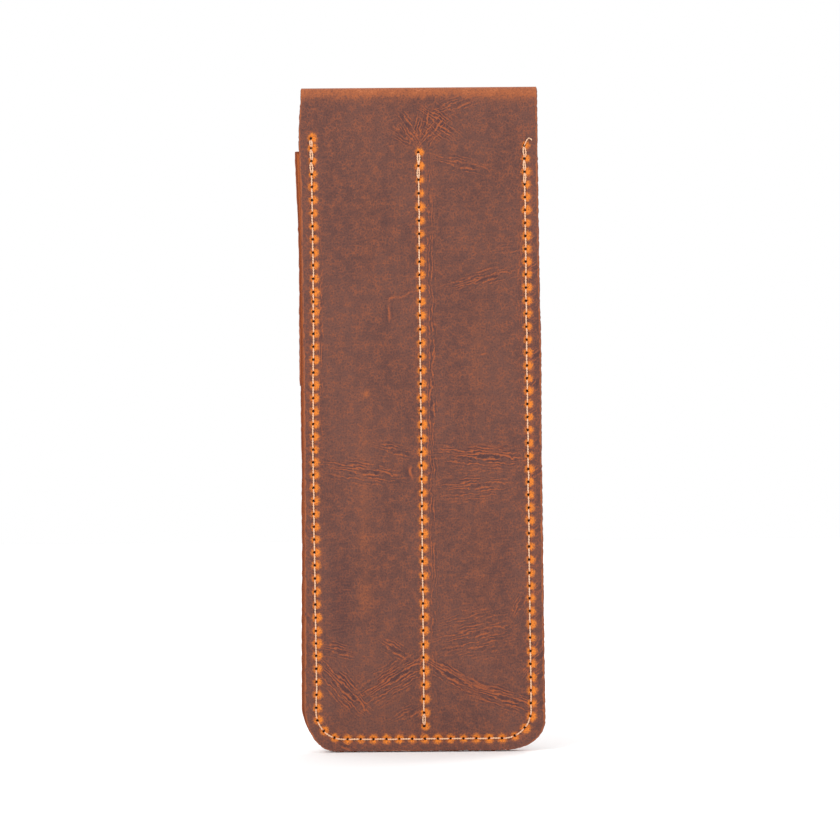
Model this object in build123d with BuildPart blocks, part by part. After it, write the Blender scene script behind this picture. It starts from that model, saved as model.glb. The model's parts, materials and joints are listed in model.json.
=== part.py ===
from build123d import *
from math import cos, radians, sin
import os

# A leather sleeve for two fountain pens. The back panel folds forward over the top and comes down as a
# flap whose tongue tucks under a strap. +Z is up, the back faces -Y and +X is to the right as seen from
# behind the case. The origin is the centre of the back face. All sizes are in millimetres.

# ---------------------------------------------------------------- driving dimensions
leather = 1.6  # all three cuts of leather are of one weight
clearance = 0.2  # gap between layers that slide on each other
case_width = 59.5
case_height = 166.0
corner_radius = 9.0
mouth_drop = 16.0  # from the fold down to the pocket mouth
lip = 1.0  # the front panel stands this far past the back panel, on the left

pocket_radius = 9.5  # inside the rounded front of a pocket
pocket_height = 12.0  # clear height over the back panel, for a pen 12 mm thick
pocket_centre = 13.2  # from the middle of the case to each pocket's axis

fold_radius = 2.4  # outside the fold
fold_turn = 130.0  # degrees the leather turns at the fold
shoulder_radius = 6.0  # outside the bend where the flap turns down over the pockets
tongue_half_width = 22.7  # measured along the leather
tongue_lead = 1.0  # the tongue starts this far above the strap
tongue_droop = 45.0  # degrees the tongue's edges bend down round the pockets
flap_length = 83.5  # from the fold down to the end of the tongue
tongue_end_half_width = 20.5
tongue_corner_radius = 10.0

strap_width = 20.0
strap_drop = 54.5  # from the fold down to the strap's upper edge
strap_foot_bend = 1.0
strap_top_bend = 9.0
strap_foot = 25.5  # from the middle of the case to the bend at the foot of the strap
strap_lean = 2.5  # how far each side of the strap leans inwards on its way up

seam_inset = 2.9  # from the edge of the back panel to the seam
seam_corner_radius = 7.5
stitch_pitch = 3.25
centre_pitch = 3.4
seam_start_left = 12.75  # from the fold down to the outline seam's first hole
seam_start_right = 14.75
centre_start = 16.6
centre_stop = 6.2  # from the bottom edge up to the last hole of the centre seam
hole_radius = 0.35
thread_radius = 0.3
leg_radius = 0.25
groove_width = 0.8  # the thread lies in a shallow groove that it has pulled into the leather
groove_depth = 0.65
thread_sink = 0.33  # from the surface of the leather to the middle of the thread
lock_depth = 0.8  # where the two threads meet, below the back face
lock_gap = 0.05

# ---------------------------------------------------------------- worked out from them
top = case_height / 2
bottom = -case_height / 2
half_width = case_width / 2
mouth = top - mouth_drop
front_face = 2 * leather  # front face of the flat part of the front panel
pocket_axis_y = leather + pocket_height - pocket_radius
dome_radius = pocket_radius + leather
dome_crest = pocket_axis_y + dome_radius
flap_inner = dome_crest + clearance
flap_outer = flap_inner + leather
strap_inner = flap_outer + clearance
seam_side = half_width - seam_inset
seam_bottom = bottom + seam_inset
dome_end = seam_bottom + leather + dome_radius  # centre of the rounded lower end of a pocket
strap_top = top - strap_drop
strap_bottom = strap_top - strap_width
tongue_end = top - flap_length
tongue_top = strap_top + tongue_lead
fold_centre = Vector(fold_radius, top - fold_radius)
fold_end = 180.0 - fold_turn  # polar angle where the fold runs into the flap
fold_hinge_angle = 180.0 - fold_turn / 2
flap_direction = Vector(sin(radians(fold_turn)), cos(radians(fold_turn)))
shoulder_centre_y = flap_outer - shoulder_radius


def on_circle(centre, radius, angle):
    """The point of a circle at a polar angle in degrees."""
    return centre + Vector(radius * cos(radians(angle)), radius * sin(radians(angle)))


slope_start = on_circle(fold_centre, fold_radius, fold_end)
slope_end_y = shoulder_centre_y + shoulder_radius * cos(radians(fold_end))
slope_length = (slope_end_y - slope_start.X) / flap_direction.X
slope_end = slope_start + flap_direction * slope_length
shoulder_centre = Vector(shoulder_centre_y, slope_end.Y - shoulder_radius * sin(radians(fold_end)))
shoulder_hinge_angle = fold_end / 2


def back_plane(depth):
    """The upright plane at a depth in front of the back face. Extruding from it by a negative amount
    goes towards the front of the case."""
    return Plane.XZ.offset(-depth)


# ---------------------------------------------------------------- seam lines, seen from behind
with BuildLine(Plane.XZ) as outline_seam:
    FilletPolyline(
        (-seam_side, top - seam_start_left),
        (-seam_side, seam_bottom),
        (seam_side, seam_bottom),
        (seam_side, top - seam_start_right),
        radius=seam_corner_radius,
    )

with BuildLine(Plane.XZ) as centre_seam:
    Line((0, top - centre_start), (0, bottom + centre_stop))


def stitch_holes(seam, pitch):
    """Points a stitch apart along a seam."""
    path = seam.wire()
    count = round(path.length / pitch)
    return [path @ (index / count) for index in range(count + 1)]


outline_holes = stitch_holes(outline_seam, stitch_pitch)
centre_holes = stitch_holes(centre_seam, centre_pitch)
all_holes = outline_holes + centre_holes


def pierce(points, depth, thickness):
    """Cut a round stitch hole through a panel at each point."""
    with BuildSketch(back_plane(depth)) as holes:
        with Locations(*[(point.X, point.Z) for point in points]):
            Circle(hole_radius)
    extrude(holes.sketch, amount=-thickness, mode=Mode.SUBTRACT)


def press_groove(seam, depth, amount):
    """Press the groove of a seam into a face of a panel."""
    with BuildSketch(back_plane(depth)) as groove:
        trace(Plane.XZ.to_local_coords(seam.line), line_width=groove_width)
    extrude(groove.sketch, amount=amount, mode=Mode.SUBTRACT)


def band(centre, radius, start, stop):
    """Leather bent round a centre, between two polar angles, as a closed outline in a side view."""
    with BuildLine() as outline:
        outer = CenterArc(centre, radius, start, stop - start)
        inner = CenterArc(centre, radius - leather, start, stop - start)
        Line(outer @ 0, inner @ 0)
        Line(outer @ 1, inner @ 1)
    make_face(outline.edges())


# ---------------------------------------------------------------- back panel
with BuildPart() as back_panel:
    with BuildSketch(back_plane(0)) as back_outline:
        with Locations((0, (bottom + fold_centre.Y) / 2)):
            Rectangle(case_width, fold_centre.Y - bottom)
        fillet(back_outline.vertices().group_by(Axis.Y)[0], corner_radius)
    extrude(amount=-leather)
    with BuildSketch(Plane.YZ):
        band(fold_centre, fold_radius, 180.0, fold_hinge_angle)
    extrude(amount=half_width, both=True)
    pierce(all_holes, 0, leather)
    press_groove(outline_seam, 0, -groove_depth)
    press_groove(centre_seam, 0, -groove_depth)

# ---------------------------------------------------------------- front panel with two formed pockets
pocket_ends = [(side * pocket_centre, pocket_axis_y, dome_end) for side in (-1, 1)]
low_holes = [point for point in all_holes if point.Z < mouth]

with BuildPart() as front_panel:
    with Locations(*pocket_ends):
        Sphere(dome_radius)
        Cylinder(dome_radius, mouth - dome_end, align=(Align.CENTER, Align.CENTER, Align.MIN))
    split(bisect_by=Plane.ZX.offset(leather), keep=Keep.TOP)
    with BuildSketch(back_plane(leather)) as front_outline:
        with Locations((-lip / 2, (bottom + mouth) / 2)):
            Rectangle(case_width + lip, mouth - bottom)
        fillet(front_outline.vertices().group_by(Axis.Y)[0], corner_radius)
    extrude(amount=-leather)
    with Locations(*pocket_ends):
        Sphere(pocket_radius, mode=Mode.SUBTRACT)
        Cylinder(
            pocket_radius,
            mouth - dome_end,
            align=(Align.CENTER, Align.CENTER, Align.MIN),
            mode=Mode.SUBTRACT,
        )
    pierce(low_holes, leather, leather)
    press_groove(outline_seam, front_face, groove_depth)
    press_groove(centre_seam, front_face, groove_depth)

# ---------------------------------------------------------------- retaining strap
strap_foot_y = front_face + leather / 2
strap_top_y = strap_inner + leather / 2
strap_line = [
    (-half_width, strap_foot_y),
    (-strap_foot, strap_foot_y),
    (-strap_foot + strap_lean, strap_top_y),
    (strap_foot - strap_lean, strap_top_y),
    (strap_foot, strap_foot_y),
    (half_width, strap_foot_y),
]
strap_bends = [strap_foot_bend, strap_top_bend, strap_top_bend, strap_foot_bend]
strap_holes = [point for point in outline_holes if strap_bottom < point.Z < strap_top]

with BuildPart() as retaining_strap:
    with BuildSketch(Plane.XY.offset(strap_bottom)):
        with BuildLine():
            FilletPolyline(*strap_line, radius=strap_bends)
        trace(line_width=leather)
    extrude(amount=strap_width)
    pierce(strap_holes, front_face, leather)
    press_groove(outline_seam, front_face + leather, groove_depth)

# ---------------------------------------------------------------- flap, from the fold to the tongue
# The back panel and the flap are one piece of leather. It is cut into nodes where it bends: at the
# middle of the fold, at the middle of the shoulder, and where the tongue goes in under the strap.
flap_taper = (half_width - tongue_half_width) / (top - tongue_top)


def flap_half_width(height):
    """Half the width of the flap, which narrows evenly from the fold to the strap."""
    return half_width - flap_taper * (top - height)


with BuildPart() as flap_upper:
    with BuildSketch(Plane.YZ):
        band(fold_centre, fold_radius, fold_hinge_angle, fold_end)
        inward = on_circle(Vector(0, 0), leather, fold_end + 180)
        with BuildLine():
            Polyline(slope_start, slope_end, slope_end + inward, slope_start + inward, close=True)
        make_face()
        band(shoulder_centre, shoulder_radius, fold_end, shoulder_hinge_angle)
    extrude(amount=half_width, both=True)
    with BuildSketch(back_plane(0)):
        with BuildLine():
            Polyline(
                (-flap_half_width(top), top),
                (flap_half_width(top), top),
                (flap_half_width(shoulder_centre.Y), shoulder_centre.Y),
                (-flap_half_width(shoulder_centre.Y), shoulder_centre.Y),
                close=True,
            )
        make_face()
    extrude(amount=-flap_outer, mode=Mode.INTERSECT)


def flap_section(half, droop):
    """A level cut through the flap: flat between the pocket crests, its edges bent down round them."""
    bend_radius = (half - pocket_centre) / radians(droop) + leather / 2
    centre = (pocket_centre, flap_outer - bend_radius)
    with BuildLine() as outline:
        Line((0, flap_outer), (pocket_centre, flap_outer))
        outer = CenterArc(centre, bend_radius, 90, -droop)
        inner = CenterArc(centre, bend_radius - leather, 90, -droop)
        Line(outer @ 1, inner @ 1)
        Line((0, flap_inner), (pocket_centre, flap_inner))
        mirror(about=Plane.YZ)
    make_face(outline.edges())


flat_droop = 2.0  # a droop small enough to count as flat, which keeps the sections alike

with BuildPart() as flap_lower:
    with BuildSketch(Plane.XY.offset(shoulder_centre.Y)):
        flap_section(flap_half_width(shoulder_centre.Y), flat_droop)
    with BuildSketch(Plane.XY.offset(tongue_top)):
        flap_section(tongue_half_width, tongue_droop)
    loft()
    with BuildSketch(Plane.YZ):
        band(shoulder_centre, shoulder_radius, shoulder_hinge_angle, 0.0)
    extrude(amount=flap_half_width(shoulder_centre.Y), both=True)

with BuildPart() as flap_tongue:
    with BuildSketch(Plane.XY.offset(tongue_end)):
        flap_section(tongue_half_width, tongue_droop)
    extrude(amount=tongue_top - tongue_end)
    with BuildSketch(back_plane(0)):
        with BuildLine():
            FilletPolyline(
                (-tongue_half_width, tongue_top),
                (-tongue_end_half_width, tongue_end),
                (tongue_end_half_width, tongue_end),
                (tongue_half_width, tongue_top),
                radius=tongue_corner_radius,
            )
            Line((-tongue_half_width, tongue_top), (tongue_half_width, tongue_top))
        make_face()
    extrude(amount=-flap_outer, mode=Mode.INTERSECT)


# ---------------------------------------------------------------- threads
panel_depth = front_face - thread_sink  # of the bobbin threads where they lie along the front panel
strap_depth = panel_depth + leather
bare_depth = leather + thread_radius + lock_gap  # above the mouth, where only the back panel is sewn
step = thread_radius + lock_gap  # from an edge that a thread climbs to the middle of the thread
climb_bend = thread_radius + lock_gap


def sewn_thread(path, lock, leg_groups):
    """A thread laid along a path, with a short leg down each hole to the depth where the threads lock."""
    with BuildPart() as thread:
        with BuildSketch(Plane(origin=path @ 0, z_dir=path % 0)):
            Circle(thread_radius)
        sweep(path=path)
        for points, depth in leg_groups:
            with BuildSketch(back_plane(depth)):
                with Locations(*[(point.X, point.Z) for point in points]):
                    Circle(leg_radius)
            extrude(amount=depth - lock)
    return thread


def climb(side, first_hole):
    """Down one side of the case: along the bare back panel, up on to the front panel and over the strap."""
    profile = [
        (bare_depth, first_hole),
        (bare_depth, mouth + step),
        (panel_depth, mouth + step),
        (panel_depth, strap_top + step),
        (strap_depth, strap_top + step),
        (strap_depth, strap_bottom - step),
        (panel_depth, strap_bottom - step),
    ]
    return [Vector(side * seam_side, depth, height) for depth, height in profile]


left_climb = climb(-1, top - seam_start_left)
right_climb = climb(1, top - seam_start_right)
lower_corners = [Vector(side * seam_side, panel_depth, seam_bottom) for side in (-1, 1)]
bends = [climb_bend] * (len(left_climb) - 1)

with BuildLine() as outline_bobbin_path:
    FilletPolyline(
        *left_climb,
        *lower_corners,
        *reversed(right_climb),
        radius=bends + [seam_corner_radius] * 2 + bends,
    )

bare_holes = [point for point in outline_holes if point.Z > mouth]
panel_holes = [point for point in low_holes if point in outline_holes and point not in strap_holes]
needle_lock = lock_depth - lock_gap
bobbin_lock = lock_depth + lock_gap

outline_needle_thread = sewn_thread(
    Pos(0, thread_sink, 0) * outline_seam.wire(),
    needle_lock,
    [(outline_holes, thread_sink)],
)
centre_needle_thread = sewn_thread(
    Pos(0, thread_sink, 0) * centre_seam.wire(),
    needle_lock,
    [(centre_holes, thread_sink)],
)
outline_bobbin_thread = sewn_thread(
    outline_bobbin_path.wire(),
    bobbin_lock,
    [(bare_holes, bare_depth), (panel_holes, panel_depth), (strap_holes, strap_depth)],
)
centre_bobbin_thread = sewn_thread(
    Pos(0, panel_depth, 0) * centre_seam.wire(),
    bobbin_lock,
    [(centre_holes, panel_depth)],
)

# ---------------------------------------------------------------- write each piece
os.makedirs("parts", exist_ok=True)
pieces = {
    "back_panel": back_panel,
    "front_panel": front_panel,
    "retaining_strap": retaining_strap,
    "flap_upper": flap_upper,
    "flap_lower": flap_lower,
    "flap_tongue": flap_tongue,
    "outline_needle_thread": outline_needle_thread,
    "outline_bobbin_thread": outline_bobbin_thread,
    "centre_needle_thread": centre_needle_thread,
    "centre_bobbin_thread": centre_bobbin_thread,
}
for name, piece in pieces.items():
    piece.part.label = name
    export_step(piece.part, f"parts/{name}.step")
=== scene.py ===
import json
import math
import bpy
import numpy as np
from mathutils import Matrix, Vector, kdtree


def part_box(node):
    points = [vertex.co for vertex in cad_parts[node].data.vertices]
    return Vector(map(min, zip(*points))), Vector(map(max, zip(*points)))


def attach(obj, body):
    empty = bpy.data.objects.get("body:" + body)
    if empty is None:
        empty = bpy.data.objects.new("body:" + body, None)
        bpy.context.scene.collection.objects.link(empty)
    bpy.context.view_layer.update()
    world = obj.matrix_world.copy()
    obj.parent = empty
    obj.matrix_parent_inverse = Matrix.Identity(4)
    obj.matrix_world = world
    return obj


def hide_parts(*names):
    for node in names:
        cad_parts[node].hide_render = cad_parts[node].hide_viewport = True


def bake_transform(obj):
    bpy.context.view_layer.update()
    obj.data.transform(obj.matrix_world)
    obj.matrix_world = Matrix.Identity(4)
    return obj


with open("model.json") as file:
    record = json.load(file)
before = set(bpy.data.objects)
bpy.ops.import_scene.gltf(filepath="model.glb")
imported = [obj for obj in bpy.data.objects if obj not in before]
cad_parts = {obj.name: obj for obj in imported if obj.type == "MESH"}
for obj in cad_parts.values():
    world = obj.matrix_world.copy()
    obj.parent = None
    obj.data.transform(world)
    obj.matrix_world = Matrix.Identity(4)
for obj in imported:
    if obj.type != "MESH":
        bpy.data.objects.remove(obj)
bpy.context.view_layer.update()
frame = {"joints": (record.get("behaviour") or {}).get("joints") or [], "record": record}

# Shapes are worked out in millimetres in the frame of the case, and scaled when a mesh is made.
# The back of the case faces -Y, and "hide" coordinates measure along the leather itself.
MM = 0.001


# ---------------------------------------------------------------- sizes read from the frame
def span(node):
    """Lowest and highest corners of a CAD node, in millimetres."""
    low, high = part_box(node)
    return np.array(low) / MM, np.array(high) / MM


back_low, back_high = span("back_panel")
front_low, front_high = span("front_panel")
strap_low, strap_high = span("retaining_strap")
lower_high = span("flap_lower")[1]
tongue_low, tongue_high = span("flap_tongue")
seam_low, seam_high = span("outline_needle_thread")
middle_low, middle_high = span("centre_needle_thread")
joints = {joint["name"]: joint for joint in frame["joints"]}
openings = frame["record"]["physics"]["openings"]

leather = front_low[1]
half_width = back_high[0]
bottom = back_low[2]
top = span("flap_upper")[1][2]
mouth = front_high[2]
lip = back_low[0] - front_low[0]
dome_crest = front_high[1]
flap_face = lower_high[1]
pocket_x = sum(corner[0] for corner in openings[1]["box_m"]) / 2 / MM
pocket_radius = 9.5  # inside the rounded front of a pocket
dome_radius = pocket_radius + leather
dome_axis_y = dome_crest - dome_radius
thread_half = (middle_high[0] - middle_low[0]) / 2
seam_x = seam_high[0] - thread_half
seam_z = seam_low[2] + thread_half
dome_end = seam_z + leather + dome_radius

fold_pivot = np.array(joints["flap_open"]["pos_m"]) / MM
fold_turn = math.radians(joints["flap_open"]["range_deg"][1])
fold_radius = fold_pivot[1] / (1 + math.cos(math.pi - fold_turn / 2))
fold_y, fold_z = fold_radius, top - fold_radius
slope_angle = math.pi - fold_turn
shoulder_pivot = np.array(joints["flap_shoulder_bend"]["pos_m"]) / MM
shoulder_radius = (flap_face - shoulder_pivot[1]) / (1 - math.cos(slope_angle / 2))
shoulder_y = flap_face - shoulder_radius
shoulder_z = shoulder_pivot[2] - shoulder_radius * math.sin(slope_angle / 2)

# ---------------------------------------------------------------- sizes of the sewing and the grid
STRIDE = 4  # the flesh side of each cut of leather has a mesh this many times coarser
stitch_pitch = 3.25
centre_pitch = 3.4
corner_radius = 6.9  # of the outline seam
halo_shift = 0.35  # the needle leans, so the stretched leather shows to the right of each hole
rim_rows = 4
rim_bulge = 0.16  # how far a cut edge stands out in its middle
path_step = 0.1  # between the points of a seam's line
strap_step = 0.12  # between the points of the strap's line
seam_reach = 5.0  # further off than this, the leather takes no notice of a seam
far_off = 50  # stands for a distance from a seam beyond that reach
everywhere = (400, 400)  # the size of a patch of creases that covers a whole cut of leather
crease_depth = 0.05  # how deep a crease of full strength cuts in


# ---------------------------------------------------------------- small numeric helpers
def ease(value, start, stop):
    """0 before start, 1 after stop, and a smooth rise between them."""
    t = np.clip((value - start) / (stop - start), 0, 1)
    return t * t * (3 - 2 * t)


def hump(value, centre, width):
    return np.exp(-(((value - centre) / width) ** 2))


def bearing(degrees):
    """The unit vector of a heading."""
    return np.array([math.cos(math.radians(degrees)), math.sin(math.radians(degrees))])


def distances(line):
    """The distance from the start of a line to each of its points."""
    return np.concatenate([[0], np.cumsum(np.hypot(*np.diff(line, axis=0).T))])


def sample(line, along, at):
    """Points of a line at some distances, given the distance of each of its own points."""
    return np.stack([np.interp(at, along, line[:, axis]) for axis in (0, 1)], -1)


def ripple(x, z, size, seed):
    """Smooth random waves between -1 and 1, about size millimetres apart."""
    table = np.random.default_rng(seed).uniform(-1, 1, (128, 128))
    gx, gz = np.asarray(x) / size + 500, np.asarray(z) / size + 500
    ix, iz = np.floor(gx).astype(int), np.floor(gz).astype(int)
    fx, fz = gx - ix, gz - iz
    fx, fz = fx * fx * (3 - 2 * fx), fz * fz * (3 - 2 * fz)
    near = table[ix % 128, iz % 128] * (1 - fx) + table[(ix + 1) % 128, iz % 128] * fx
    far = table[ix % 128, (iz + 1) % 128] * (1 - fx) + table[(ix + 1) % 128, (iz + 1) % 128] * fx
    return near * (1 - fz) + far * fz


def stations(*stops):
    """Values from the first stop on. Each further stop is (value, step), in a whole number of strides."""
    values = [np.array([stops[0]])]
    for stop, step in stops[1:]:
        start = values[-1][-1]
        count = max(1, round(abs(stop - start) / step / STRIDE)) * STRIDE
        values.append(np.linspace(start, stop, count + 1)[1:])
    return np.concatenate(values)


# ---------------------------------------------------------------- creases and wear drawn on the hide
class Hide:
    """Maps of creases, of the painted shade in the valleys beside them and of worn patches over a stretch of
    leather. The shade map also holds darker patches of leather.
    """

    cell = 0.125

    def __init__(self, low, high, seed):
        self.low = np.array(low, float)
        size = ((np.array(high) - self.low) / self.cell).astype(int) + 2
        self.crease = np.zeros(size)
        self.shade = np.zeros(size)
        self.wear = np.zeros(size)
        self.combs = np.zeros((2, 3, *size))
        self.draw = np.random.default_rng(seed)

    def strand(self, points, strength=0.7, width=0.16, wobble=0.3):
        """One crease through some points, wandering a little and fading in places."""
        points = np.array(points, float)
        along = distances(points)
        count = max(3, int(along[-1] / 0.08))
        s = np.linspace(0, along[-1], count)
        line = sample(points, along, s)
        kernel = np.hanning(2 * max(2, int(0.1 * count)) + 1)
        kernel /= kernel.sum()
        pad = len(kernel) // 2
        padded = np.pad(line, ((pad, pad), (0, 0)), mode="reflect", reflect_type="odd")
        line = np.stack([np.convolve(padded[:, axis], kernel, "valid") for axis in (0, 1)], 1)
        phase = self.draw.uniform(0, 1000, 2)
        shift = ripple(s, phase[0] + 0 * s, 2.6, 5) + 0.45 * ripple(s, phase[1] + 0 * s, 0.9, 6)
        heading = np.gradient(line, axis=0)
        heading /= np.maximum(np.hypot(*heading.T), 1e-9)[:, None]
        line = line + (shift * wobble)[:, None] * np.stack([-heading[:, 1], heading[:, 0]], 1)
        fade = np.sin(math.pi * np.linspace(0.04, 0.96, count)) ** 0.5
        broken = 0.72 + 0.4 * ripple(s, phase[0] + 7 + 0 * s, 1.7, 8)
        depth = 0.62 * strength * fade * np.clip(broken, 0.1, 1)
        # painted shade: dark lines on both sides of each crease stand in for the shade in its valleys
        beside = np.stack([-heading[:, 1], heading[:, 0]], 1) * 2.4 * width
        self.splat(self.crease, line, depth, width)
        self.splat(self.shade, line + beside, 0.75 * depth, 1.5 * width)
        self.splat(self.shade, line - beside, 0.75 * depth, 1.5 * width)

    def splat(self, target, line, strength, width):
        reach = max(1, math.ceil(2 * width / self.cell))
        place = (line - self.low) / self.cell
        base = np.round(place).astype(int)
        for di in range(-reach, reach + 1):
            for dj in range(-reach, reach + 1):
                i, j = base[:, 0] + di, base[:, 1] + dj
                ok = (i >= 0) & (j >= 0) & (i < target.shape[0]) & (j < target.shape[1])
                gap = np.hypot(i - place[:, 0], j - place[:, 1]) * self.cell
                np.maximum.at(target, (i[ok], j[ok]), (strength * np.exp(-((gap / width) ** 2)))[ok])

    def bundle(self, points, count, spread, strength=0.6, width=0.15, fan=1.0):
        """Several creases side by side along one course; fan widens the bundle towards its end."""
        points = np.array(points, float)
        overall = points[-1] - points[0]
        side = np.array([-overall[1], overall[0]]) / max(np.hypot(*overall), 1e-6)
        grow = np.linspace(1, fan, len(points))[:, None]
        for _ in range(count):
            offset = self.draw.uniform(-0.5, 0.5) * spread
            trim = self.draw.uniform(0, 0.3, 2)
            t = np.linspace(trim[0], 1 - trim[1], len(points) + 2)
            course = points + side * offset * grow
            knots = np.linspace(0, 1, len(points))
            cut = sample(course, knots, t)
            self.strand(cut, strength * self.draw.uniform(0.45, 1.1), width * self.draw.uniform(0.8, 1.2))

    def comb(self, layer, centre, size, heading, strength):
        """A patch of fine side-by-side creases in one heading; size is its half length and half width."""
        nx, nz = self.crease.shape
        x = self.low[0] + np.arange(nx)[:, None] * self.cell - centre[0]
        z = self.low[1] + np.arange(nz)[None, :] * self.cell - centre[1]
        cos, sin = bearing(heading)
        along, across = x * cos + z * sin, z * cos - x * sin
        patch = strength * np.exp(-((along / size[0]) ** 2) - (across / size[1]) ** 2)
        wins = patch > self.combs[layer][2]
        for target, values in zip(self.combs[layer], (along, across, patch)):
            target[wins] = values[wins]

    def lines(self, x, z):
        """What the material needs to draw both layers of combed creases: along, across and strength."""
        layers = [np.stack([self.read(part, x, z) for part in layer], -1) for layer in self.combs]
        return list(zip(("comb_a", "comb_b"), layers))

    def scatter(self, low, high, count, length, heading, strength=0.3):
        """Short loose creases over a region, about one heading in degrees."""
        for _ in range(count):
            start = self.draw.uniform(low, high)
            angle = math.radians(heading + self.draw.normal(0, 14))
            reach = length * self.draw.uniform(0.4, 1.3)
            way = np.array([math.cos(angle), math.sin(angle)]) * reach
            bow = np.array([-way[1], way[0]]) * self.draw.uniform(-0.15, 0.15)
            course = [start, start + way / 2 + bow, start + way]
            self.strand(course, strength * self.draw.uniform(0.4, 1.1), 0.16)

    def patch(self, centre, size):
        """A soft round spot, 1 in its middle; size is its half width and half height."""
        nx, nz = self.wear.shape
        x = self.low[0] + np.arange(nx)[:, None] * self.cell
        z = self.low[1] + np.arange(nz)[None, :] * self.cell
        return np.exp(-(((x - centre[0]) / size[0]) ** 2) - ((z - centre[1]) / size[1]) ** 2)

    def rub(self, centre, size, strength):
        """A worn, lighter patch."""
        self.wear = np.maximum(self.wear, strength * self.patch(centre, size))

    def darken(self, centre, size, strength):
        """A patch that has kept its oil and is darker."""
        self.shade = np.maximum(self.shade, strength * self.patch(centre, size))

    def tone(self, x, z):
        """How worn and light the leather is, less the painted shade beside a crease and the darker patches.
        """
        return self.read(self.wear, x, z) - self.read(self.shade, x, z)

    def read(self, target, x, z):
        gx = np.clip((x - self.low[0]) / self.cell, 0, target.shape[0] - 1.001)
        gz = np.clip((z - self.low[1]) / self.cell, 0, target.shape[1] - 1.001)
        i, j = gx.astype(int), gz.astype(int)
        fx, fz = gx - i, gz - j
        return (
            target[i, j] * (1 - fx) * (1 - fz)
            + target[i + 1, j] * fx * (1 - fz)
            + target[i, j + 1] * (1 - fx) * fz
            + target[i + 1, j + 1] * fx * fz
        )


# ---------------------------------------------------------------- seams
def seam_drift(x, z):
    """The sewing wanders a little: the outline seam widens towards the bottom."""
    down = (top - z) / (top - bottom)
    return np.where(x > 3, -0.55 + 0.7 * down, np.where(x < -3, -0.18 * np.cos(3.4 * math.pi * down), 0))


def outline_path():
    """Points 0.1 mm apart down the left side, round the bottom and up the right side."""
    arc = np.linspace(0, math.pi / 2, 60)
    cx, cz, r = seam_x - corner_radius, seam_z + corner_radius, corner_radius
    left = np.stack([-cx - r * np.cos(arc), cz - r * np.sin(arc)], 1)
    right = np.stack([cx + r * np.sin(arc), cz - r * np.cos(arc)], 1)
    start = [[-seam_x, seam_high[2] - thread_half]]
    stop = [[seam_x, seam_high[2] - thread_half - 2.0]]
    corners = np.concatenate([start, left, right, stop])
    along = distances(corners)
    path = sample(corners, along, np.arange(0, along[-1], path_step))
    upright = ease(path[:, 1], seam_z, seam_z + 2 * corner_radius)
    path[:, 0] += seam_drift(path[:, 0], path[:, 1]) * upright
    return path


def centre_path():
    z = np.arange(middle_high[2], middle_low[2], -path_step)
    lean = -0.15 + 0.35 * (middle_high[2] - z) / (middle_high[2] - middle_low[2])
    return np.stack([lean, z], 1)


class Seam:
    """A line of stitch holes: where each hole is, and how far any point of the leather is from it."""

    def __init__(self, path, pitch, short_runs, seed):
        self.path = path
        self.along = distances(path)
        self.heading = np.gradient(path, axis=0)
        self.heading /= np.hypot(*self.heading.T)[:, None]
        draw = np.random.default_rng(seed)
        holes = [0.0]
        while holes[-1] < self.along[-1] - 0.6 * pitch:
            here = [amount for start, stop, amount in short_runs if start <= holes[-1] <= stop]
            short = max(here, default=0)
            holes.append(holes[-1] + pitch * (1 - short) * draw.normal(1, 0.02))
        holes = np.array(holes)
        self.holes = holes * self.along[-1] / holes[-1]
        self.tree = kdtree.KDTree(len(path))
        for index, point in enumerate(path):
            self.tree.insert((point[0], point[1], 0), index)
        self.tree.balance()

    def place(self, s):
        """Points on the seam, and the direction to its left, at distances along it."""
        point = sample(self.path, self.along, s)
        heading = sample(self.heading, self.along, s)
        return point, np.stack([-heading[..., 1], heading[..., 0]], -1)

    def measure(self, x, z):
        """Per point: stitches along the seam, distance off it, distance off the line of the halos, pitch."""
        result = np.zeros((len(x), 4), np.float32)
        result[:, 1:3] = far_off
        result[:, 3] = 3
        low, high = self.path.min(0) - seam_reach, self.path.max(0) + seam_reach
        inside = (x > low[0]) & (x < high[0]) & (z > low[1]) & (z < high[1])
        found = [self.tree.find((x[index], z[index], 0)) for index in np.nonzero(inside)[0]]
        near = np.array([entry[1] for entry in found], int)
        close = np.array([entry[2] for entry in found]) <= seam_reach
        index, near = np.nonzero(inside)[0][close], near[close]
        heading = self.heading[near]
        off = np.stack([x[index], z[index]], 1) - self.path[near]
        s = self.along[near] + (off * heading).sum(1)
        lateral = off[:, 1] * heading[:, 0] - off[:, 0] * heading[:, 1]
        last = len(self.holes) - 1
        run = np.interp(s, self.holes, np.arange(last + 1))
        run += np.minimum(0, s) / 3 + np.maximum(0, s - self.holes[-1]) / 3
        pitch = np.diff(self.holes)[np.clip(run.astype(int), 0, last - 1)]
        result[index] = np.stack([run, lateral, lateral + halo_shift * heading[:, 1], pitch], 1)
        return result


outline_seam = Seam(outline_path(), stitch_pitch, [(0, 1, 0.26), (36, 44, 0.25)], 31)
centre_seam = Seam(centre_path(), centre_pitch, [], 32)


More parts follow.
